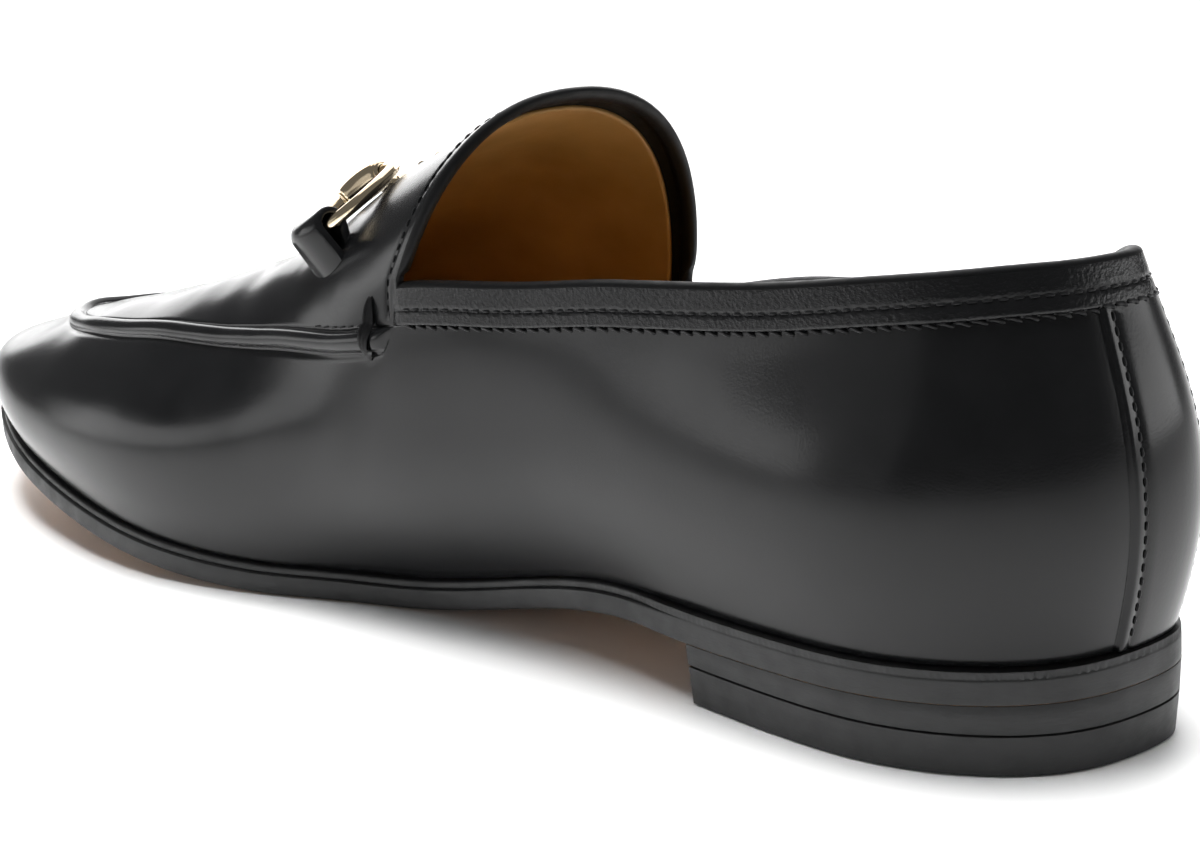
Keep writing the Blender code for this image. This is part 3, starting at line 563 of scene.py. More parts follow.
def makeFinishes():
    made = {"calf": makeCalf("polishedCalf"), "bandCalf": makeCalf("bandCalf", pebbled=True)}
    for key, look in finishLooks.items():
        material = paintWith(look["name"], **look["base"])
        if "tones" in look:
            scale, detail, dark, light = look["tones"]
            varyColour(material, noiseField(material, scale, detail), dark, light)
        if "gloss" in look:
            scale, detail, low, high = look["gloss"]
            varyRoughness(material, noiseField(material, scale, detail), low, high)
        scale, detail, height, strength, stretch = look["relief"]
        addRelief(material, [(noiseField(material, scale, detail, stretch), height, strength)])
        made[key] = material
    return made


finishes = makeFinishes()
print("finishes ready:", sorted(finishes))


# Mesh helpers, all in metres on the last's own frame; makePiece shifts them to the floor frame
def makePiece(name, points, faces, looks, nodes=(), faceLooks=None, crisp=None):
    mesh = bpy.data.meshes.new(name)
    mesh.from_pydata((np.asarray(points) + shift).tolist(), [], [list(map(int, face)) for face in faces])
    for look in looks:
        mesh.materials.append(finishes[look])
    if faceLooks is not None:
        mesh.polygons.foreach_set("material_index", np.asarray(faceLooks, np.int32))
    tidy = bmesh.new()
    tidy.from_mesh(mesh)
    bmesh.ops.recalc_face_normals(tidy, faces=tidy.faces)
    tidy.to_mesh(mesh)
    tidy.free()
    mesh.shade_smooth()
    if crisp:
        mesh.set_sharp_from_angle(angle=math.radians(crisp))
    piece = bpy.data.objects.new(name, mesh)
    bpy.context.scene.collection.objects.link(piece)
    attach(piece, "root")
    if nodes:
        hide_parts(*nodes)
    return piece


def alongCurve(points, distances):
    steps = np.linalg.norm(np.diff(points, axis=0), axis=1)
    run = np.concatenate([[0.0], np.cumsum(steps)])
    return np.array([np.interp(distances, run, points[:, axis]) for axis in range(3)]).T


def curveLength(points):
    return float(np.linalg.norm(np.diff(points, axis=0), axis=1).sum())


def smoothStep(low, high, value):
    t = np.clip((value - low) / (high - low), 0, 1)
    return t * t * (3 - 2 * t)


def tubeFaces(ringCount, sides, closed=False):
    faces = []
    for ring in range(ringCount if closed else ringCount - 1):
        after = (ring + 1) % ringCount
        for k in range(sides):
            nextSide = (k + 1) % sides
            low, high = ring * sides, after * sides
            faces.append((low + k, low + nextSide, high + nextSide, high + k))
    if not closed:
        faces.append(tuple(range(sides))[::-1])
        faces.append(tuple((ringCount - 1) * sides + k for k in range(sides)))
    return faces


# The upper: one skin over the last with its raised band, strap and rolled apron seam
upperLook = {
    "places": 440,
    "wallRows": 24,
    "crownRows": 30,
    "wallSteps": 241,
    "crownSteps": 181,
    # rows of the skin in millimetres from the seam line, the strap's edge and the throat
    "bandRows": (
        0.0, 0.10, 0.25, 0.45, 0.70, 1.1, 1.6, 2.1, 2.35, 2.6, 2.85, 3.1, 3.6, 4.1, 4.4, 5.0, 5.6, 6.1,
    ),
    "beadRows": (0.0, 0.12, 0.3, 0.55, 0.85, 1.2, 1.6, 2.0, 2.4, 2.75, 3.05, 3.3, 3.45, 3.6, 3.9, 4.4, 5.2),
    "strapRows": (-1.2, -0.5, -0.15, 0.0, 0.15, 0.4, 0.75, 1.1, 1.4, 1.6, 1.8, 2.2),
    "throatRows": (0.5, 1.0, 1.5, 1.9, 2.2, 2.5, 2.9, 3.3, 3.9),
    "rowGap": 0.00035,  # plain stations nearer than this to one of those rows are left out
    "rimReach": 0.0011,
    "archReach": 0.0014,
    "rimArcs": 11,
    "beadWidth": 0.0034,
    "beadHeight": 0.0013,
    "beadStart": (0.0005, 0.0045),
    "keeperSwell": 0.0003,
    "keeperReach": 0.0035,
    "plugGroove": 0.00035,
    "plugGrooveWidth": 0.0003,
    "beadFootGap": 0.0004,
    "beadFootShare": 0.8,
    "bandStep": 0.0008,
    "strapWidth": 0.0170,
    "strapStep": 0.0007,
    "strapBead": 0.0001,
    "strapBeadAt": 0.00045,
    "strapBeadWidth": 0.0003,
    "edgeRound": 0.0005,
    "wall": 0.0020,
    "shell": 0.0012,
    "thinFrom": 0.0027,
    "liningFrom": 0.0034,
    "liningSlack": 0.0002,
    "liningDepths": (0.00130, 0.00198),  # its two faces below the skin
    "stitchGroove": 0.00022,
    "grooveWidth": 0.00035,
    "bandStitchRow": 0.0026,
    "strapStitchRow": 0.0016,
    "throatStitchRow": 0.0022,
    "strapGrooveTop": 0.0008,
    "throatGrooveFoot": 0.0012,
}


def roundMedial():
    # stations up the medial side from the heel's middle to the toe tip, closer where edges run
    look = upperLook
    half = look["places"] // 2
    rear = int(round(half * throatPlace / sideLength))
    ahead = np.linspace(throatPlace, sideLength, half - rear + 1)
    even = np.concatenate([np.linspace(0, throatPlace, rear + 1), ahead])
    strapEdges = look["strapWidth"] / 2 - np.array(look["strapRows"]) / 1000
    throatEdges = throatPlace + np.array(look["throatRows"]) / 1000
    extra = np.concatenate([strapEdges, throatEdges])
    fixed = np.array([0.0, throatPlace, sideLength])
    taken = np.concatenate([extra, fixed])
    clear = [place for place in even if np.min(np.abs(taken - place)) > look["rowGap"]]
    medial = np.sort(np.concatenate([fixed, extra, clear]))
    return medial, int(np.argmin(np.abs(medial - throatPlace)))


medialPlaces, rearStation = roundMedial()
halfStation = len(medialPlaces) - 1
roundPlaces = np.concatenate([medialPlaces, (loopLength - medialPlaces[1:-1])[::-1]])
stationCount = len(roundPlaces)


class SkinGrid:
    # named points of the skin with where each lies, so that raised lines can be worked out
    def __init__(self):
        self.index = {}
        self.points = []
        self.facts = []
        self.faces = []
        self.faceKinds = []

    def add(self, key, point, kind, place, rise, archRun=1.0):
        if key not in self.index:
            self.index[key] = len(self.points)
            self.points.append(point)
            self.facts.append((kind, place, rise, archRun))
        return self.index[key]

    def face(self, kind, *keys):
        corners = []
        for key in keys:
            corner = self.index[key]
            if corner not in corners:
                corners.append(corner)
        if len(corners) > 2:
            self.faces.append(corners)
            self.faceKinds.append(kind)


wallKind, bandKind, crownKind = 0, 1, 2
bandDistances = np.array(upperLook["bandRows"]) / 1000
bandTop = len(bandDistances) - 1
crownTop = bandTop + upperLook["crownRows"]
wallTop = len(upperLook["beadRows"]) + upperLook["wallRows"] - 1


def wallRow(place):
    # points up the wall at one station, first row at the feather line and the last on the seam line
    fine = wallCurve(place, np.linspace(0, 1, upperLook["wallSteps"]))[::-1]
    total = curveLength(fine)
    near = np.array(upperLook["beadRows"]) / 1000
    spread = np.sin(np.linspace(0, 1, upperLook["wallRows"] + 1)[1:] * math.pi / 2)
    distances = np.concatenate([near, near[-1] + (total - near[-1]) * spread])[::-1]
    return alongCurve(fine, distances), -distances


def crownRow(place, side):
    fine = crownCurve(place, side, np.linspace(0, 1, upperLook["crownSteps"]))
    total = curveLength(fine)
    near = bandDistances * min(1, total / (bandDistances[-1] * 2))
    rest = np.linspace(near[-1], total, upperLook["crownRows"] + 1)[1:]
    distances = np.concatenate([near, rest])
    return alongCurve(fine, distances), distances


def makeSkin():
    skin = SkinGrid()
    for i, place in enumerate(roundPlaces):
        points, rises = wallRow(place)
        for j in range(wallTop + 1):
            skin.add(("wall", i, j), points[j], wallKind, place, rises[j])
    for i in range(stationCount):
        after = (i + 1) % stationCount
        for j in range(wallTop):
            corners = ((i, j), (after, j), (after, j + 1), (i, j + 1))
            skin.face(wallKind, *[("wall", *corner) for corner in corners])
    bandStations = [i % stationCount for i in range(-rearStation, rearStation + 1)]
    for i in bandStations:
        points = bandCurve(roundPlaces[i], bandDistances / lastSizes["bandWidth"])
        for k in range(1, bandTop + 1):
            skin.add(("band", i, k), points[k], bandKind, roundPlaces[i], bandDistances[k])

    def bandKey(i, k):
        return ("wall", i, wallTop) if k == 0 else ("band", i, k)

    for i, after in zip(bandStations[:-1], bandStations[1:]):
        for k in range(bandTop):
            skin.face(bandKind, bandKey(i, k), bandKey(after, k), bandKey(after, k + 1), bandKey(i, k + 1))

    def crownKey(station, i, k):
        if i == halfStation:
            return ("wall", halfStation, wallTop)
        if k == 0:
            return ("wall", station, wallTop)
        if k == crownTop:
            return ("ridge", i)
        if i == rearStation and k <= bandTop:
            return ("band", station, k)
        return ("crown", station, k)

    arch = {side: crownRow(throatPlace, side)[0] for side in (1, -1)}
    for i in range(rearStation, halfStation):
        for side, station in ((1, i), (-1, stationCount - i)):
            points, rises = crownRow(roundPlaces[i], side)
            archRuns = np.linalg.norm(points - arch[side], axis=1)
            for k in range(1, crownTop + 1):
                key = crownKey(station, i, k)
                place = roundPlaces[station % stationCount]
                skin.add(key, points[k], crownKind, place, rises[k], archRuns[k])
    for i in range(rearStation, halfStation):
        near = (stationCount - i) % stationCount
        for k in range(crownTop):
            skin.face(crownKind, crownKey(i, i, k), crownKey(i + 1, i + 1, k),
                      crownKey(i + 1, i + 1, k + 1), crownKey(i, i, k + 1))
            skin.face(crownKind, crownKey(near, i, k), crownKey(near, i, k + 1),
                      crownKey(near - 1, i + 1, k + 1), crownKey(near - 1, i + 1, k))
    # the edge of the opening, each corner with the one just inside it
    far = stationCount - rearStation
    pairs = [(("band", i, bandTop), ("band", i, bandTop - 1)) for i in bandStations]
    for k in range(bandTop + 1, crownTop + 1):
        pairs.append((crownKey(rearStation, rearStation, k), crownKey(rearStation + 2, rearStation + 2, k)))
    for k in range(crownTop - 1, bandTop, -1):
        pairs.append((crownKey(far, rearStation, k), crownKey(far - 2, rearStation + 2, k)))
    skin.rim = [skin.index[edge] for edge, inside in pairs]
    skin.rimInside = [skin.index[inside] for edge, inside in pairs]
    skin.points = np.array(skin.points)
    skin.kind, skin.place, skin.rise, skin.archRun = np.array(skin.facts).T
    return skin


def skinNormals(points, faces):
    corners = np.array([(face + [face[0]])[:4] for face in faces])
    firstWay = points[corners[:, 2]] - points[corners[:, 0]]
    turn = np.cross(firstWay, points[corners[:, 3]] - points[corners[:, 1]])
    for k, face in enumerate(faces):
        if len(face) == 3:
            turn[k] = np.cross(points[face[1]] - points[face[0]], points[face[2]] - points[face[0]])
    normals = np.zeros_like(points)
    for k in range(4):
        np.add.at(normals, corners[:, k], turn)
    normals /= np.maximum(np.linalg.norm(normals, axis=1), 1e-15)[:, None]
    outward = points - points.mean(axis=0)
    return normals if np.mean(np.sum(normals * outward, axis=1)) > 0 else -normals


skin = makeSkin()
skin.normals = skinNormals(skin.points, skin.faces)
print("skin:", len(skin.points), "points,", len(skin.faces), "faces")


def nearLine(distance, width):
    return np.exp(-((distance / width) ** 2))


def roundedEdge(inside, radius):
    # height share of a folded edge at a distance inside it
    t = np.clip(inside / radius, 0, 1)
    return np.sqrt(1 - (1 - t) ** 2)


# Soft creases, given one by one: side, place ahead of the throat, rise from the seam line,
# way it runs in degrees from level, length, width and depth in metres
creaseLook = {
    "creases": (
        (1, 0.010, -0.012, -62, 0.016, 0.0040, 0.00013),
        (1, 0.024, -0.014, -70, 0.015, 0.0045, 0.00012),
        (1, 0.040, -0.013, -76, 0.013, 0.0050, 0.00011),
        (1, -0.012, -0.011, -48, 0.014, 0.0045, 0.00010),
        (1, 0.052, 0.012, 82, 0.014, 0.0038, 0.00013),
        (1, 0.062, 0.010, 84, 0.013, 0.0036, 0.00011),
        (-1, 0.012, -0.011, -62, 0.015, 0.0040, 0.00013),
        (-1, 0.028, -0.012, -72, 0.015, 0.0045, 0.00013),
        (-1, 0.046, -0.011, -78, 0.013, 0.0050, 0.00012),
        (-1, 0.053, 0.012, 82, 0.014, 0.0038, 0.00013),
        (-1, 0.064, 0.010, 84, 0.013, 0.0036, 0.00011),
        (1, -0.075, -0.020, 12, 0.026, 0.0075, 0.00012),
        (-1, -0.070, -0.018, 12, 0.026, 0.0075, 0.00012),
    ),
    "ridgeShare": 0.45,  # a soft ridge rises beside each trough
    "ridgeAway": 1.7,  # widths from the trough to its ridge
}


def creaseDepth(ahead, rise, side):
    depth = np.zeros_like(rise)
    for flank, place, height, angle, length, width, deep in creaseLook["creases"]:
        turn = math.radians(angle)
        run = (ahead - place) * math.cos(turn) + (rise - height) * math.sin(turn)
        across = (rise - height) * math.cos(turn) - (ahead - place) * math.sin(turn)
        reach = np.exp(-((run / length) ** 2)) * (side == flank)
        ridge = creaseLook["ridgeShare"] * nearLine(across - width * creaseLook["ridgeAway"], width)
        depth += deep * reach * (nearLine(across, width) - ridge)
    return depth


keeperPlace = lastSizes["keeperAhead"] * vampLength


def raiseSkin():
    look = upperLook
    heelRun = np.minimum(skin.place, loopLength - skin.place)
    side = np.where(skin.place <= sideLength, 1, -1)
    ahead = heelRun - throatPlace
    inStrap = look["strapWidth"] / 2 - heelRun
    wall = skin.kind == wallKind
    band = skin.kind == bandKind
    crown = skin.kind == crownKind
    fade = smoothStep(*look["beadStart"], ahead)
    swell = look["keeperSwell"] * nearLine(ahead - keeperPlace, look["keeperReach"])
    width = (look["beadWidth"] + swell) * np.maximum(fade, 0.05)
    bead = np.sqrt(np.clip(1 - ((-skin.rise - width / 2) / (width / 2)) ** 2, 0, None))
    height = wall * fade * bead * look["beadHeight"]
    height -= (1 - band) * fade * nearLine(skin.rise, look["plugGrooveWidth"]) * look["plugGroove"]
    belowBead = nearLine(-skin.rise - width - look["beadFootGap"], look["beadFootGap"])
    height -= wall * fade * belowBead * look["plugGroove"] * look["beadFootShare"]
    height += band * look["bandStep"] * roundedEdge(skin.rise, look["edgeRound"])
    height += wall * look["strapStep"] * roundedEdge(inStrap, look["edgeRound"])
    strapBead = look["strapBead"] * nearLine(inStrap - look["strapBeadAt"], look["strapBeadWidth"])
    height += wall * (inStrap > 0) * strapBead
    groove = look["grooveWidth"]
    sunk = band * nearLine(skin.rise - look["bandStitchRow"], groove)
    strapLine = nearLine(inStrap - look["strapStitchRow"], groove) * (skin.rise < -look["strapGrooveTop"])
    throatLine = nearLine(skin.archRun - look["throatStitchRow"], groove)
    sunk = sunk + wall * strapLine + crown * throatLine * (skin.rise > look["throatGrooveFoot"])
    height -= sunk * look["stitchGroove"]
    return height - creaseDepth(ahead, skin.rise, side) * (1 - band)


skin.height = raiseSkin()
skin.outer = skin.points + skin.normals * skin.height[:, None]


def skinRimRun():
    # how far each point of the skin lies inside the edge of the opening
    band = (bandDistances[-1] + upperLook["rimReach"]) - skin.rise
    run = np.where(skin.kind == bandKind, band, 1.0)
    return np.where(skin.kind == crownKind, skin.archRun + upperLook["archReach"], run)


def openEdges(faces):
    used = set()
    for face in faces:
        for a, b in zip(face, face[1:] + face[:1]):
            used.add((a, b))
    return [edge for edge in used if (edge[1], edge[0]) not in used]


def rimWays():
    # the way out of the leather at each corner of the rim, eased round the throat's corners
    edge = skin.points[skin.rim]
    normals = skin.normals[skin.rim]
    ways = edge - skin.points[skin.rimInside]
    for turn in range(6):
        ways -= normals * np.sum(ways * normals, axis=1)[:, None]
        ways /= np.linalg.norm(ways, axis=1)[:, None]
        ways = ways * 0.5 + np.roll(ways, 1, axis=0) * 0.25 + np.roll(ways, -1, axis=0) * 0.25
    return ways / np.linalg.norm(ways, axis=1)[:, None]


def makeUpper():
    look = upperLook
    rimRun = skinRimRun()
    thin = smoothStep(look["thinFrom"], look["liningFrom"], rimRun)
    thick = look["wall"] - (look["wall"] - look["shell"]) * thin
    inner = skin.points - skin.normals * thick[:, None]
    feather = [skin.index[("wall", i, 0)] for i in range(stationCount)]
    inner[feather, 2] = skin.outer[feather, 2]
    count = len(skin.points)
    faces = [list(face) for face in skin.faces] + [[c + count for c in reversed(face)] for face in skin.faces]
    # looks by face: 0 calf, 1 pebbled band, 2 turned binding
    looks = [int(kind == bandKind) for kind in skin.faceKinds] + [2] * len(skin.faces)
    for i in range(stationCount):
        a, b = feather[i], feather[(i + 1) % stationCount]
        faces.append([b, a, a + count, b + count])
        looks.append(0)
    points = [skin.outer, inner]
    ways = rimWays()
    onArch = skin.archRun[skin.rim] < 0.5
    reach = np.where(onArch, look["archReach"], look["rimReach"])
    middle = (skin.outer[skin.rim] + inner[skin.rim]) / 2
    half = (skin.outer[skin.rim] - inner[skin.rim]) / 2
    arcs = [list(skin.rim)]
    base = 2 * count
    for angle in np.linspace(0, math.pi, look["rimArcs"])[1:-1]:
        points.append(middle + half * math.cos(angle) + ways * (reach * math.sin(angle))[:, None])
        arcs.append(list(range(base, base + len(skin.rim))))
        base += len(skin.rim)
    arcs.append([corner + count for corner in skin.rim])
    for low, high in zip(arcs[:-1], arcs[1:]):
        for k in range(len(low)):
            after = (k + 1) % len(low)
            faces.append([low[k], low[after], high[after], high[k]])
            looks.append(2)
    finish = ("calf", "bandCalf", "binding")
    makePiece("upperShell", np.concatenate(points), faces, finish, ("upper",), looks)


def makeLining():
    # a tan sheet inside the shell that stops short of the turned edge
    look = upperLook
    slack = look["liningSlack"]
    top = bandDistances[-1] + look["rimReach"] - look["liningFrom"] - slack
    front = throatPlace + look["liningFrom"] - slack
    limitRise = bandDistances[np.argmin(np.abs(bandDistances - top))] + 1e-6
    limitAhead = medialPlaces[np.argmin(np.abs(medialPlaces - front))] - 1e-6
    heelRun = np.minimum(skin.place, loopLength - skin.place)
    inside = (skin.kind == wallKind) | ((skin.kind == bandKind) & (skin.rise <= limitRise))
    inside |= (skin.kind == crownKind) & ((heelRun >= limitAhead) | (skin.rise <= limitRise))
    kept = [face for face in skin.faces if inside[face].all()]
    used = np.unique(np.concatenate([np.array(face) for face in kept]))
    place = np.full(len(skin.points), -1)
    place[used] = np.arange(len(used))
    faces = [[int(place[c]) for c in face] for face in kept]
    base = skin.points[used]
    normals = skin.normals[used]
    count = len(used)
    points = np.concatenate([base - normals * depth for depth in look["liningDepths"]])
    closed = faces + [[c + count for c in reversed(face)] for face in faces]
    closed += [[b, a, a + count, b + count] for a, b in openEdges(faces)]
    foot = np.concatenate([used, used])
    feather = np.isin(foot, [skin.index[("wall", i, 0)] for i in range(stationCount)])
    points[feather, 2] = np.tile(skin.outer[used], (2, 1))[feather, 2]
    makePiece("upperLining", points, closed, ("lining",))


makeUpper()
makeLining()
print("upper and lining ready")


# Stitches: short arched threads along rows on the raised skin
stitchLook = {
    "bandRow": {"pitch": 0.0021, "length": 0.0015, "radius": 0.00019, "slant": 0},
    "seamRow": {"pitch": 0.0023, "length": 0.0024, "radius": 0.00030, "slant": -24},
    "strapRow": {"pitch": 0.0021, "length": 0.0015, "radius": 0.00020, "slant": 0},
    "throatRow": {"pitch": 0.0021, "length": 0.0014, "radius": 0.0001, "slant": 0},
    "plugRow": {"pitch": 0.0024, "length": 0.0016, "radius": 0.00018, "slant": 8},
    "sides": 7,
    "steps": 7,
    "sink": 0.25,
    # height, how far the ends fall and how much they thin, as shares of the thread's radius
    "archRise": 0.9,
    "archFall": 1.1,
    "endThin": 0.8,
    "jitter": 3,  # degrees by which a stitch may turn off its row
    "cornerGap": 0.002,
    "strapShares": (0.04, 0.985),
    "archFrom": 0.03,
    "plugStretch": (0.0018, 0.0165),  # ahead of the keeper
    "plugInside": 0.0008,
}
skinTree = BVHTree.FromPolygons([tuple(point) for point in skin.outer], skin.faces)


def stitchMesh(name, paths, row):
    points = []
    faces = []
    look = stitchLook[row]
    sides, steps = stitchLook["sides"], stitchLook["steps"]
    quarter = look["length"] / 4
    jitter = stitchLook["jitter"]
    rise = stitchLook["archRise"] - stitchLook["sink"]
    for path in paths:
        total = curveLength(path)
        for middle in np.arange(look["pitch"] / 2, total - look["pitch"] / 4, look["pitch"]):
            before, at, after = alongCurve(path, [middle - quarter, middle, middle + quarter])
            index = skinTree.find_nearest(Vector(at))[2]
            normal = skin.normals[skin.faces[index]].mean(axis=0)
            normal = normal / np.linalg.norm(normal)
            way = after - before
            way = way - normal * np.dot(way, normal)
            way = way / np.linalg.norm(way)
            beside = np.cross(normal, way)
            turn = math.radians(look["slant"] + random.uniform(-jitter, jitter))
            way = way * math.cos(turn) + beside * math.sin(turn)
            beside = np.cross(normal, way)
            base = len(points)
            for share in np.linspace(-1, 1, steps):
                centre = at + way * share * look["length"] / 2
                hit = skinTree.find_nearest(Vector(centre))[0]
                arch = look["radius"] * (rise - stitchLook["archFall"] * share**4)
                centre = np.array(hit) + normal * arch
                girth = look["radius"] * math.sqrt(1 - stitchLook["endThin"] * share**4)
                for angle in np.linspace(0, 2 * math.pi, sides, endpoint=False):
                    points.append(centre + (beside * math.cos(angle) + normal * math.sin(angle)) * girth)
            faces += [tuple(corner + base for corner in face) for face in tubeFaces(steps, sides)]
    makePiece(name, points, faces, ("thread",))


def liftToSkin(path):
    return np.array([np.array(skinTree.find_nearest(Vector(point))[0]) for point in path])


def makeStitches():
    look = upperLook
    corner = throatPlace - stitchLook["cornerGap"]
    rearPlaces = np.linspace(-corner, corner, 400)
    share = look["bandStitchRow"] / lastSizes["bandWidth"]
    bandPath = liftToSkin([bandCurve(place, [share])[0] for place in rearPlaces])
    stitchMesh("bandStitches", [bandPath], "bandRow")
    seamPath = liftToSkin([wallRow(place)[0][-2] for place in rearPlaces])
    stitchMesh("bandSeamStitches", [seamPath], "seamRow")
    edge = look["strapWidth"] / 2 - look["strapStitchRow"]
    shares = np.linspace(*stitchLook["strapShares"], 160)
    rows = [liftToSkin(wallCurve(place, shares)) for place in (edge, loopLength - edge)]
    stitchMesh("strapStitches", rows, "strapRow")
    station = throatPlace + look["throatStitchRow"]
    shares = np.linspace(stitchLook["archFrom"], 1, 160)
    arch = [crownCurve(station, side, shares) for side in (1, -1)]
    whole = np.concatenate([arch[0], arch[1][::-1][1:]])
    stitchMesh("throatStitches", [liftToSkin(whole)], "throatRow")
    start, end = stitchLook["plugStretch"]
    plugs = []
    for side in (1, -1):
        row = []
        for ahead in np.linspace(keeperPlace + start, keeperPlace + end, 50):
            fine = crownCurve(throatPlace + ahead, side, np.linspace(0, 0.3, 40))
            row.append(alongCurve(fine, [stitchLook["plugInside"]])[0])
        plugs.append(liftToSkin(row))
    stitchMesh("plugStitches", plugs, "plugRow")


makeStitches()
print("stitches ready")


# The sole: thin and close-cut, with a rounded lower edge and a ribbed rand that is flush round the heel
soleLook = {
    "stations": 1500,
    "edgeRadius": 0.0008,
    "flatRows": (0.0040, 0.00176),  # insets of the tread's rows inside the rounded edge
    "edgeRows": (
        # inset from the outline and rise over the rand's foot, from the side of the edge to the top
        (0.0, -0.0005),
        (0.00008, -0.00015),
        (0.0003, 0.0),
        (0.0008, 0.0001),
        (0.00058, 0.0003),
        (0.00058, 0.00095),
        (0.0007, 0.0012),
        (0.0009, 0.0013),
        (0.0021, 0.0013),
        (0.0042, 0.0013),
    ),
    "ribbed": (4, 5),  # which of those rows carry the ribs
    "ribPitch": 0.0011,
    "ribDepth": 0.00026,
    "ribFade": 0.01,
    # how far from the heel's middle the ribs run on each side: faint and deep ones, with their shares
    "ribReach": 0.112,
    "ribShare": 0.35,
    "deepReach": 0.030,
    "deepShare": 0.65,
    "flushReach": 0.100,
    "flushShare": 0.85,
    "flushWithin": 0.0017,
}


def levelOver(rise):
    return lambda y: soleBottom(y) + rise


def slabPiece(name, profile, places, looks, nodes, lookOf, crisp=40):
    # rows of inset and height from the tread up, joined and closed across the shoe
    points = []
    for inset, height in profile:
        plan = outlinePoint(places, inset)
        points.append(np.array([plan[0], plan[1], height(plan[1])]).T)
    count = len(places)
    faces = []
    faceLooks = []
    for row in range(len(profile) - 1):
        for i in range(count):
            after = (i + 1) % count
            low, high = row * count, (row + 1) * count
            faces.append((low + i, low + after, high + after, high + i))
            faceLooks.append(lookOf[row])
    half = count // 2
    for row, look in ((0, lookOf[0]), (len(profile) - 1, lookOf[-1])):
        for i in range(half):
            corners = [row * count + c for c in (i, i + 1, count - i - 1, (count - i) % count)]
            face = [c for k, c in enumerate(corners) if c not in corners[:k]]
            faces.append(face if row == 0 else face[::-1])
            faceLooks.append(look)
    return makePiece(name, np.concatenate(points), faces, looks, nodes, faceLooks, crisp)


def makeSole():
    look = soleLook
    places = np.linspace(0, loopLength, look["stations"], endpoint=False)
    radius = look["edgeRadius"]
    rows = [(inset, 0.0) for inset in look["flatRows"]]
    for angle in np.linspace(0, math.pi / 2, 6):
        rows.append((radius * (1 - math.sin(angle)), radius * (1 - math.cos(angle))))
    firstEdge = len(rows)
    randFoot = lastSizes["soleThickness"] - look["edgeRows"][-1][1]
    rows += [(inset, randFoot + rise) for inset, rise in look["edgeRows"]]
    heelRun = np.minimum(places, loopLength - places)
    fade = look["ribFade"]
    strength = look["ribShare"] * (1 - smoothStep(look["ribReach"] - fade, look["ribReach"], heelRun))
    deep = 1 - smoothStep(look["deepReach"] - fade, look["deepReach"] + fade, heelRun)
    strength = strength + look["deepShare"] * deep
    ticks = np.clip(np.sin(2 * math.pi * heelRun / look["ribPitch"]), -0.2, 1) * look["ribDepth"] * strength
    flush = look["flushShare"] * (1 - smoothStep(look["flushReach"] - 2 * fade, look["flushReach"], heelRun))
    profile = []
    for k, (inset, rise) in enumerate(rows):
        even = 1 - flush * (inset < look["flushWithin"])
        profile.append((inset * even + ticks * (k - firstEdge in look["ribbed"]), levelOver(rise)))
    lookOf = [int(k < 3) for k in range(len(profile) - 1)]  # the tread's rows are tan
    finish = ("edge", "underside")
    slabPiece("soleEdgeAndTread", profile, places, finish, ("outsole",), lookOf)


sockLook = {
    "inset": 0.00365,
    "thickness": 0.0018,
    "edge": 0.0005,
    "chamfer": (0.0004, 0.0003),
    "topReach": 0.003,
    "stations": 500,
}


def makeSock():
    look = sockLook
    places = np.linspace(0, loopLength, look["stations"], endpoint=False)
    base = lastSizes["soleThickness"] + lastSizes["fitGap"]
    high = base + look["thickness"]
    inset, edge = look["inset"], look["edge"]
    across, up = look["chamfer"]
    profile = (
        (inset + across, levelOver(base)),
        (inset, levelOver(base + up)),
        (inset, levelOver(high - edge)),
        (inset + edge * 0.4, levelOver(high - edge * 0.3)),
        (inset + edge, levelOver(high)),
        (inset + look["topReach"], levelOver(high)),
    )
    slabPiece("sockLining", profile, places, ("lining",), ("insole",), [0] * (len(profile) - 1))


makeSole()
makeSock()
print("sole and sock ready")


# The heel: a thin lift and a thicker top lift under it, with a hollow breast
heelLook = {
    "breastAt": 0.0670,
    "taper": 0.0009,
    "hollow": 0.0020,
    "stations": 420,
    "breastStations": 79,
    "round": 0.00012,
    "seatGap": 0.00004,
}


def heelOutline(inset):
    breastY = length / 2 - heelLook["breastAt"]
    spread = np.linspace(0, sideLength, 400)
    side = np.interp(-breastY, -outlineY.at(spread), spread)
    plan = outlinePoint(np.linspace(-side, side, heelLook["stations"] + 1), inset).T
    t = np.linspace(0, 1, heelLook["breastStations"] + 2)[1:-1, None]
    hollow = plan[-1] + (plan[0] - plan[-1]) * t
    hollow[:, 1:] += heelLook["hollow"] * 4 * t * (1 - t)
    return np.concatenate([plan, hollow])


def makeLift(name, rows, looks, node, lookOf):
    points = []
    for inset, height in rows:
        plan = heelOutline(inset)
        level = height(plan[:, 1]) if callable(height) else np.full(len(plan), height)
        points.append(np.column_stack([plan, level]))
    count = len(points[0])
    faces = []
    faceLooks = []
    for row in range(len(rows) - 1):
        for i in range(count):
            after = (i + 1) % count
            low, high = row * count, (row + 1) * count
            faces.append((low + i, low + after, high + after, high + i))
            faceLooks.append(lookOf[row])
    # strips across, from the back of the heel to its breast, close the lift above and below
    back = heelLook["stations"] // 2
    breast = heelLook["breastStations"]
    pairs = [(back - k, back + k) for k in range(back + 1)]
    pairs += [(count - k, 2 * back + k) for k in range(1, breast // 2 + 1)]
    pairs.append((2 * back + breast // 2 + 1,) * 2)
    for base, look in ((0, lookOf[0]), ((len(rows) - 1) * count, lookOf[-1])):
        for (left, right), (nextLeft, nextRight) in zip(pairs[:-1], pairs[1:]):
            corners = [base + corner for corner in (left, nextLeft, nextRight, right)]
            face = [c for k, c in enumerate(corners) if c not in corners[:k]]
            faces.append(face[::-1] if base else face)
            faceLooks.append(look)
    makePiece(name, np.concatenate(points), faces, looks, (node,), faceLooks, 50)


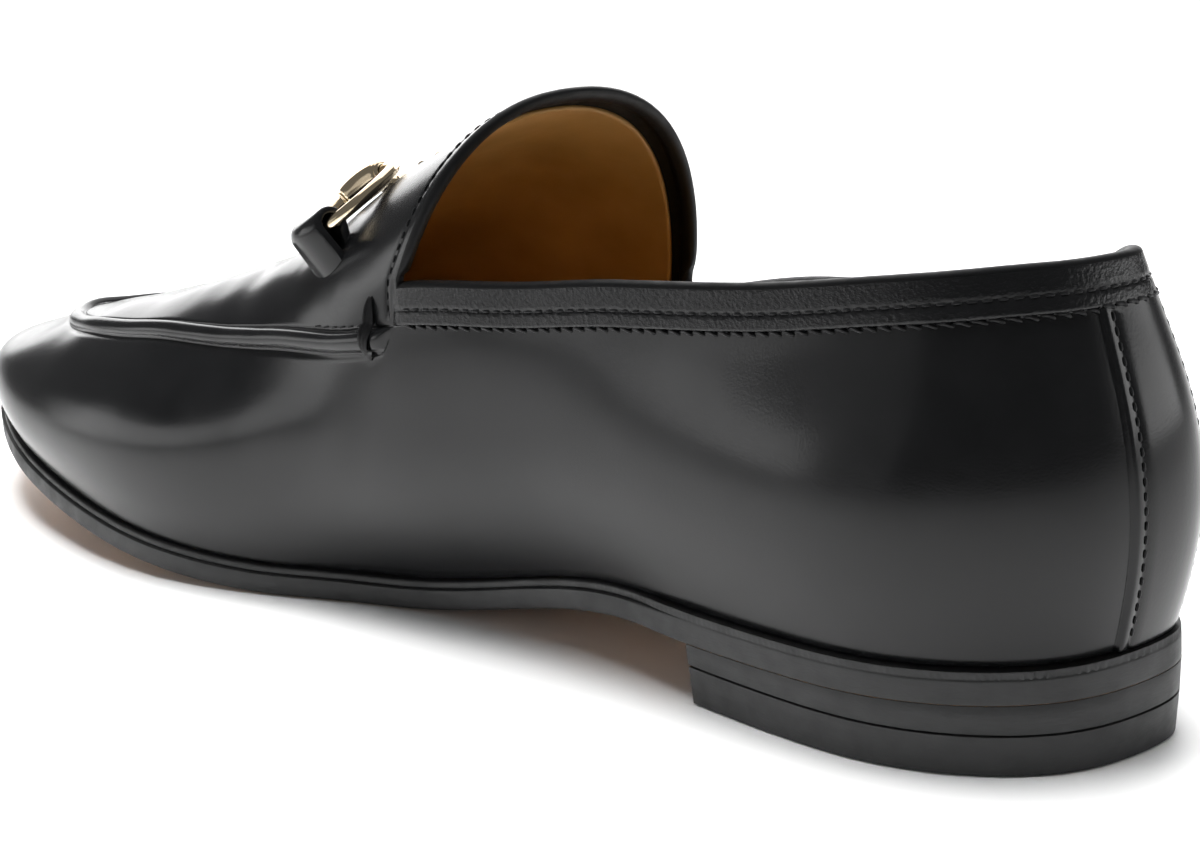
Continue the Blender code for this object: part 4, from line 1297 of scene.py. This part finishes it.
def makeHeel():
    height = lastSizes["heelHeight"]
    joint = height - lastSizes["firstLift"]
    taper = heelLook["taper"]
    edge = heelLook["round"]

    def inset(z):
        return taper * (1 - z / height)

    seat = -heelLook["seatGap"]
    lift = [
        (inset(joint) + edge * 0.7, joint),
        (inset(joint), joint + edge),
        (inset(height), levelOver(seat - edge * 0.6)),
        (inset(height) + edge * 0.5, levelOver(seat)),
    ]
    makeLift("heelLift", lift, ("edge",), "heel_lift", [0] * 3)
    top = joint - lastSizes["fitGap"]
    rows = [(inset(0) + edge, 0.0), (inset(0) + edge * 0.3, edge * 0.3), (inset(0), edge)]
    rows += [(inset(top), top - edge * 0.5), (inset(top) + edge * 0.5, top)]
    makeLift("heelTopLift", rows, ("topLift", "edge"), "heel_top_lift", [0] * 2 + [1] * 2)


makeHeel()
print("heel ready")


# The bit: two rings, a bar with swollen sleeves round them, and the tabs that hold them
bitLook = {
    "ringOuter": 0.0208,
    "wire": 0.0021,
    "lift": 0.0022,
    "station": 0.178,
    "across": 0.41,
    "tilt": 4,
    "ringSteps": 120,
    "wireSides": 24,
    "barrelLength": 0.0100,
    "barrelWidth": 0.0052,
    "barrelCollar": 0.0037,
    "barrelAngle": 32,
    "barWidth": 0.0029,
    "knuckleWidth": 0.0038,
    "barClearance": 0.0006,
    "barSunk": 0.0006,  # how deep its ends stand in the sleeves
    # shares of the sleeve's half length: its body, the neck, and the bead's middle and half length
    "sleeveBody": 0.86,
    "sleeveNeck": 0.9,
    "sleeveBead": (0.92, 0.08),
    "neckGirth": 0.9,
    "sleeveGap": (0.0002, 0.00015),  # over the wire, at the ends and inside
    "sleeveSteps": 61,
    "sleeveSides": 40,
    "barSteps": 90,
    "barSides": 28,
    "knuckleSpread": 0.2,
    # rise, place and spread of the feet at the sleeves and of the beads beside the knuckle
    "barSwells": ((0.0005, 0.90, 0.05), (0.00025, 0.28, 0.03)),
}


def crownPlace(place, across):
    # point of the vamp: across -1 on the medial seam line, 0 on the ridge, 1 on the lateral one
    return crownCurve(place, 1 if across < 0 else -1, [1 - abs(across)])[0]


def ringFrame(side):
    look = bitLook
    place = throatPlace + look["station"] * vampLength
    across = look["across"] if side == "lateral" else -look["across"]
    point = crownPlace(place, across)
    along = crownPlace(place - look["wire"], across) - crownPlace(place + look["wire"], across)
    over = crownPlace(place, across * 0.99) - crownPlace(place, across * 1.01)
    normal = np.cross(along, over)
    normal = normal / np.linalg.norm(normal) * math.copysign(1, normal[2])
    along = along / np.linalg.norm(along)
    inward = np.cross(normal, along)
    inward = inward * math.copysign(1, np.dot(inward, over))
    tilt = math.radians(look["tilt"])
    axis = normal * math.cos(tilt) + along * math.sin(tilt)
    heelward = along * math.cos(tilt) - normal * math.sin(tilt)
    return point + normal * look["lift"], axis, inward, heelward


ringFrames = {side: ringFrame(side) for side in ("medial", "lateral")}
ringRadius = (bitLook["ringOuter"] - bitLook["wire"]) / 2


def ringSection(side, angle):
    centre, axis, inward, heelward = ringFrames[side]
    out = inward * math.cos(angle) - heelward * math.sin(angle)
    return centre + out * ringRadius, out, axis


def wireSection(side, angle, radius, sides):
    middle, out, axis = ringSection(side, angle)
    turns = np.linspace(0, 2 * math.pi, sides, endpoint=False)[:, None]
    return middle + (out * np.cos(turns) + axis * np.sin(turns)) * radius


def makeRings():
    steps, sides = bitLook["ringSteps"], bitLook["wireSides"]
    turns = np.linspace(0, 2 * math.pi, steps, endpoint=False)
    faces = tubeFaces(steps, sides, closed=True)
    for side in ("medial", "lateral"):
        points = np.concatenate([wireSection(side, angle, bitLook["wire"] / 2, sides) for angle in turns])
        makePiece(f"bitRing_{side}", points, faces, ("gold",), (f"bit_ring_{side}",))


def sleeveRadius(share):
    # swollen middle, a small neck and a round bead at each end
    look = bitLook
    collar = look["barrelCollar"] / 2
    swell = look["barrelWidth"] / 2 - collar
    body = 0.0
    if abs(share) < look["sleeveBody"]:
        body = collar + swell * math.sqrt(1 - (share / look["sleeveBody"]) ** 2)
    at, half = look["sleeveBead"]
    bead = collar * math.sqrt(max(1 - ((abs(share) - at) / half) ** 2, 0))
    neck = look["wire"] / 2 + look["sleeveGap"][0]
    if abs(share) < look["sleeveNeck"]:
        neck = collar * look["neckGirth"]
    return max(body, bead, neck)


def barPath():
    look = bitLook
    angle = math.radians(look["barrelAngle"])
    ends = []
    for side in ("medial", "lateral"):
        middle, out, _ = ringSection(side, angle)
        ends.append(middle + out * (look["barrelWidth"] / 2 - look["barSunk"]))
    start, end = ends
    chord = (start + end) / 2
    axis = ringFrames["medial"][1] + ringFrames["lateral"][1]
    axis = axis / np.linalg.norm(axis)
    hit = skinTree.ray_cast(Vector(chord + axis * length), Vector(-axis))[0]
    top = np.array(hit) + axis * (look["knuckleWidth"] / 2 + look["barClearance"])
    control = top * 2 - chord
    share = np.linspace(0, 1, look["barSteps"])[:, None]
    return (1 - share) ** 2 * start + 2 * (1 - share) * share * control + share**2 * end


def makeBar():
    look = bitLook
    points = []
    faces = []
    reach = look["barrelLength"] / (2 * ringRadius)
    middle = math.radians(look["barrelAngle"])
    sides = look["sleeveSides"]
    shares = np.sin(np.linspace(-math.pi / 2, math.pi / 2, look["sleeveSteps"]))
    bore = look["wire"] / 2 + look["sleeveGap"][1]
    for side in ("medial", "lateral"):
        base = len(points)
        for share in shares:
            points += list(wireSection(side, middle + share * reach, sleeveRadius(share), sides))
        for share in shares[::-1]:
            points += list(wireSection(side, middle + share * reach, bore, sides))
        sleeve = tubeFaces(2 * len(shares), sides, closed=True)
        faces += [tuple(corner + base for corner in face) for face in sleeve]
    path = barPath()
    heelward = ringFrames["medial"][3]
    base = len(points)
    for k, place in enumerate(path):
        forward = path[min(k + 1, len(path) - 1)] - path[max(k - 1, 0)]
        forward = forward / np.linalg.norm(forward)
        beside = heelward - forward * np.dot(heelward, forward)
        beside = beside / np.linalg.norm(beside)
        above = np.cross(beside, forward)
        share = abs(2 * k / (len(path) - 1) - 1)
        knuckle = (look["knuckleWidth"] - look["barWidth"]) / 2
        radius = look["barWidth"] / 2 + knuckle * math.exp(-((share / look["knuckleSpread"]) ** 2))
        for rise, at, spread in look["barSwells"]:
            radius += rise * math.exp(-(((share - at) / spread) ** 2))
        for turn in np.linspace(0, 2 * math.pi, look["barSides"], endpoint=False):
            points.append(place + (beside * math.cos(turn) + above * math.sin(turn)) * radius)
    bar = tubeFaces(len(path), look["barSides"])
    faces += [tuple(corner + base for corner in face) for face in bar]
    makePiece("bitBar", np.array(points), faces, ("gold",), ("bit_bar",), crisp=60)


makeRings()
makeBar()
print("bit ready")


tabLook = {
    "width": 0.0096,
    "thickness": 0.0013,
    "lean": 72,
    "slit": 0.0004,
    "rows": 25,
    "bend": 29,
    "edge": 0.00045,
    "edgeFrom": 0.9,  # share of the half width where the cut edge starts to round
    "footShare": 0.3,  # share of the gap between the legs' ends and the vamp
}


def tabLeg(start, target):
    # points from the bend down to the vamp
    way = Vector(target - start).normalized()
    hit = skinTree.ray_cast(Vector(start), way)[0]
    end = np.array(hit - way * lastSizes["fitGap"] * tabLook["footShare"])
    return [start + (end - start) * t for t in (0.25, 0.5, 0.75, 1.0)]


def makeTab(side):
    look = tabLook
    wire, out, axis = ringSection(side, math.pi)
    heelward = ringFrames[side][3]
    lean = math.radians(look["lean"])
    down = out * math.cos(lean) - axis * math.sin(lean)
    face = out * math.sin(lean) + axis * math.cos(lean)
    wide = look["slit"] + look["thickness"]
    foot = down * bitLook["ringOuter"] / 4
    turns = np.radians(np.linspace(0, 180, look["bend"]))
    points = []
    for share in np.sin(np.linspace(-1, 1, look["rows"]) * math.pi / 2):
        width = look["width"] / 2 * share
        # both faces draw together towards the cut edge, which rounds it
        past = max(abs(share) - look["edgeFrom"], 0) / (1 - look["edgeFrom"])
        thin = look["edge"] * (1 - math.sqrt(max(1 - past**2, 0)))
        inner = bitLook["wire"] / 2 + 2 * lastSizes["fitGap"] + thin
        outer = inner + look["thickness"] - 2 * thin
        middle = wire + heelward * width - out * (ringRadius - math.sqrt(ringRadius**2 - width**2))
        bends = [
            [middle + (face * math.cos(turn) - down * math.sin(turn)) * reach for turn in turns]
            for reach in (outer, inner)
        ]
        ends = ((1, outer, wide), (-1, outer, wide), (-1, inner, look["slit"]), (1, inner, look["slit"]))
        legs = [
            tabLeg(middle + face * reach * turn, middle + face * slit * turn + foot)
            for turn, reach, slit in ends
        ]
        points += legs[0][::-1] + bends[0] + legs[1] + legs[2][::-1] + bends[1][::-1] + legs[3]
    sides = len(points) // look["rows"]
    faces = tubeFaces(look["rows"], sides)[:-2]
    half = sides // 2
    for row in (0, look["rows"] - 1):
        for k in range(half - 1):
            corners = [row * sides + c for c in (k, k + 1, sides - 2 - k, sides - 1 - k)]
            faces.append(tuple(corners[::-1] if row == 0 else corners))
    makePiece(f"bitTab_{side}", points, faces, ("calf",), (f"tab_{side}",), crisp=60)


keeperLook = {
    "length": 0.0095,
    "width": 0.0021,
    "thickness": 0.0013,
    "rise": 0.50,
    "strands": 4,
    "strandDepth": 0.30,
    "facing": 30,
    "taper": 2.2,
    "tip": 0.05,
    "plan": 0.45,
    "crown": 1.15,
    "probe": 0.06,  # share of the length over which it is laid on the skin
    "sink": 0.00005,
}


def makeKeeper(side):
    look = keeperLook
    place = throatPlace + keeperPlace
    place = loopLength - place if side == "lateral" else place
    seam = seamPoint(place)
    outward = -inwardAtSeam(place)
    turn = math.radians(look["facing"])
    facing = outward * math.cos(turn) + upward * math.sin(turn)
    climb = np.cross(facing, np.cross(upward, facing))
    climb = climb / np.linalg.norm(climb) * look["length"]
    beside = np.cross(climb, facing) / look["length"]
    across = np.linspace(-1, 1, 33)
    cord = 1 - look["strandDepth"] * np.abs(np.sin(across * math.pi * look["strands"] / 2)) ** 3
    corners = [(reach, a) for reach in (-look["probe"], 0, look["probe"]) for a in (-1, 0, 1)]
    points = []
    shares = np.sin(np.linspace(-math.pi / 2, math.pi / 2, 41))
    for share in shares:
        girth = max(1 - abs(share) ** look["taper"], look["tip"])
        half = beside * look["width"] / 2 * girth ** look["plan"]
        middle = seam + climb * (share / 2 - 0.5 + look["rise"]) + facing * look["length"]
        probes = [middle + climb * reach + half * a for reach, a in corners]
        drop = min(skinTree.ray_cast(Vector(probe), Vector(-facing))[3] for probe in probes)
        low = middle - facing * (drop - look["sink"])
        over = look["thickness"] * girth * (look["crown"] - across**2) * cord
        points += [low + half * a for a in across]
        points += [low + half * a + facing * rise for a, rise in zip(across[::-1], over[::-1])]
    faces = tubeFaces(len(shares), 2 * len(across))
    makePiece(f"cordKeeper_{side}", points, faces, ("thread",), (f"keeper_{side}",), crisp=70)


for side in ("medial", "lateral"):
    makeTab(side)
    makeKeeper(side)
print("tabs and keepers ready")
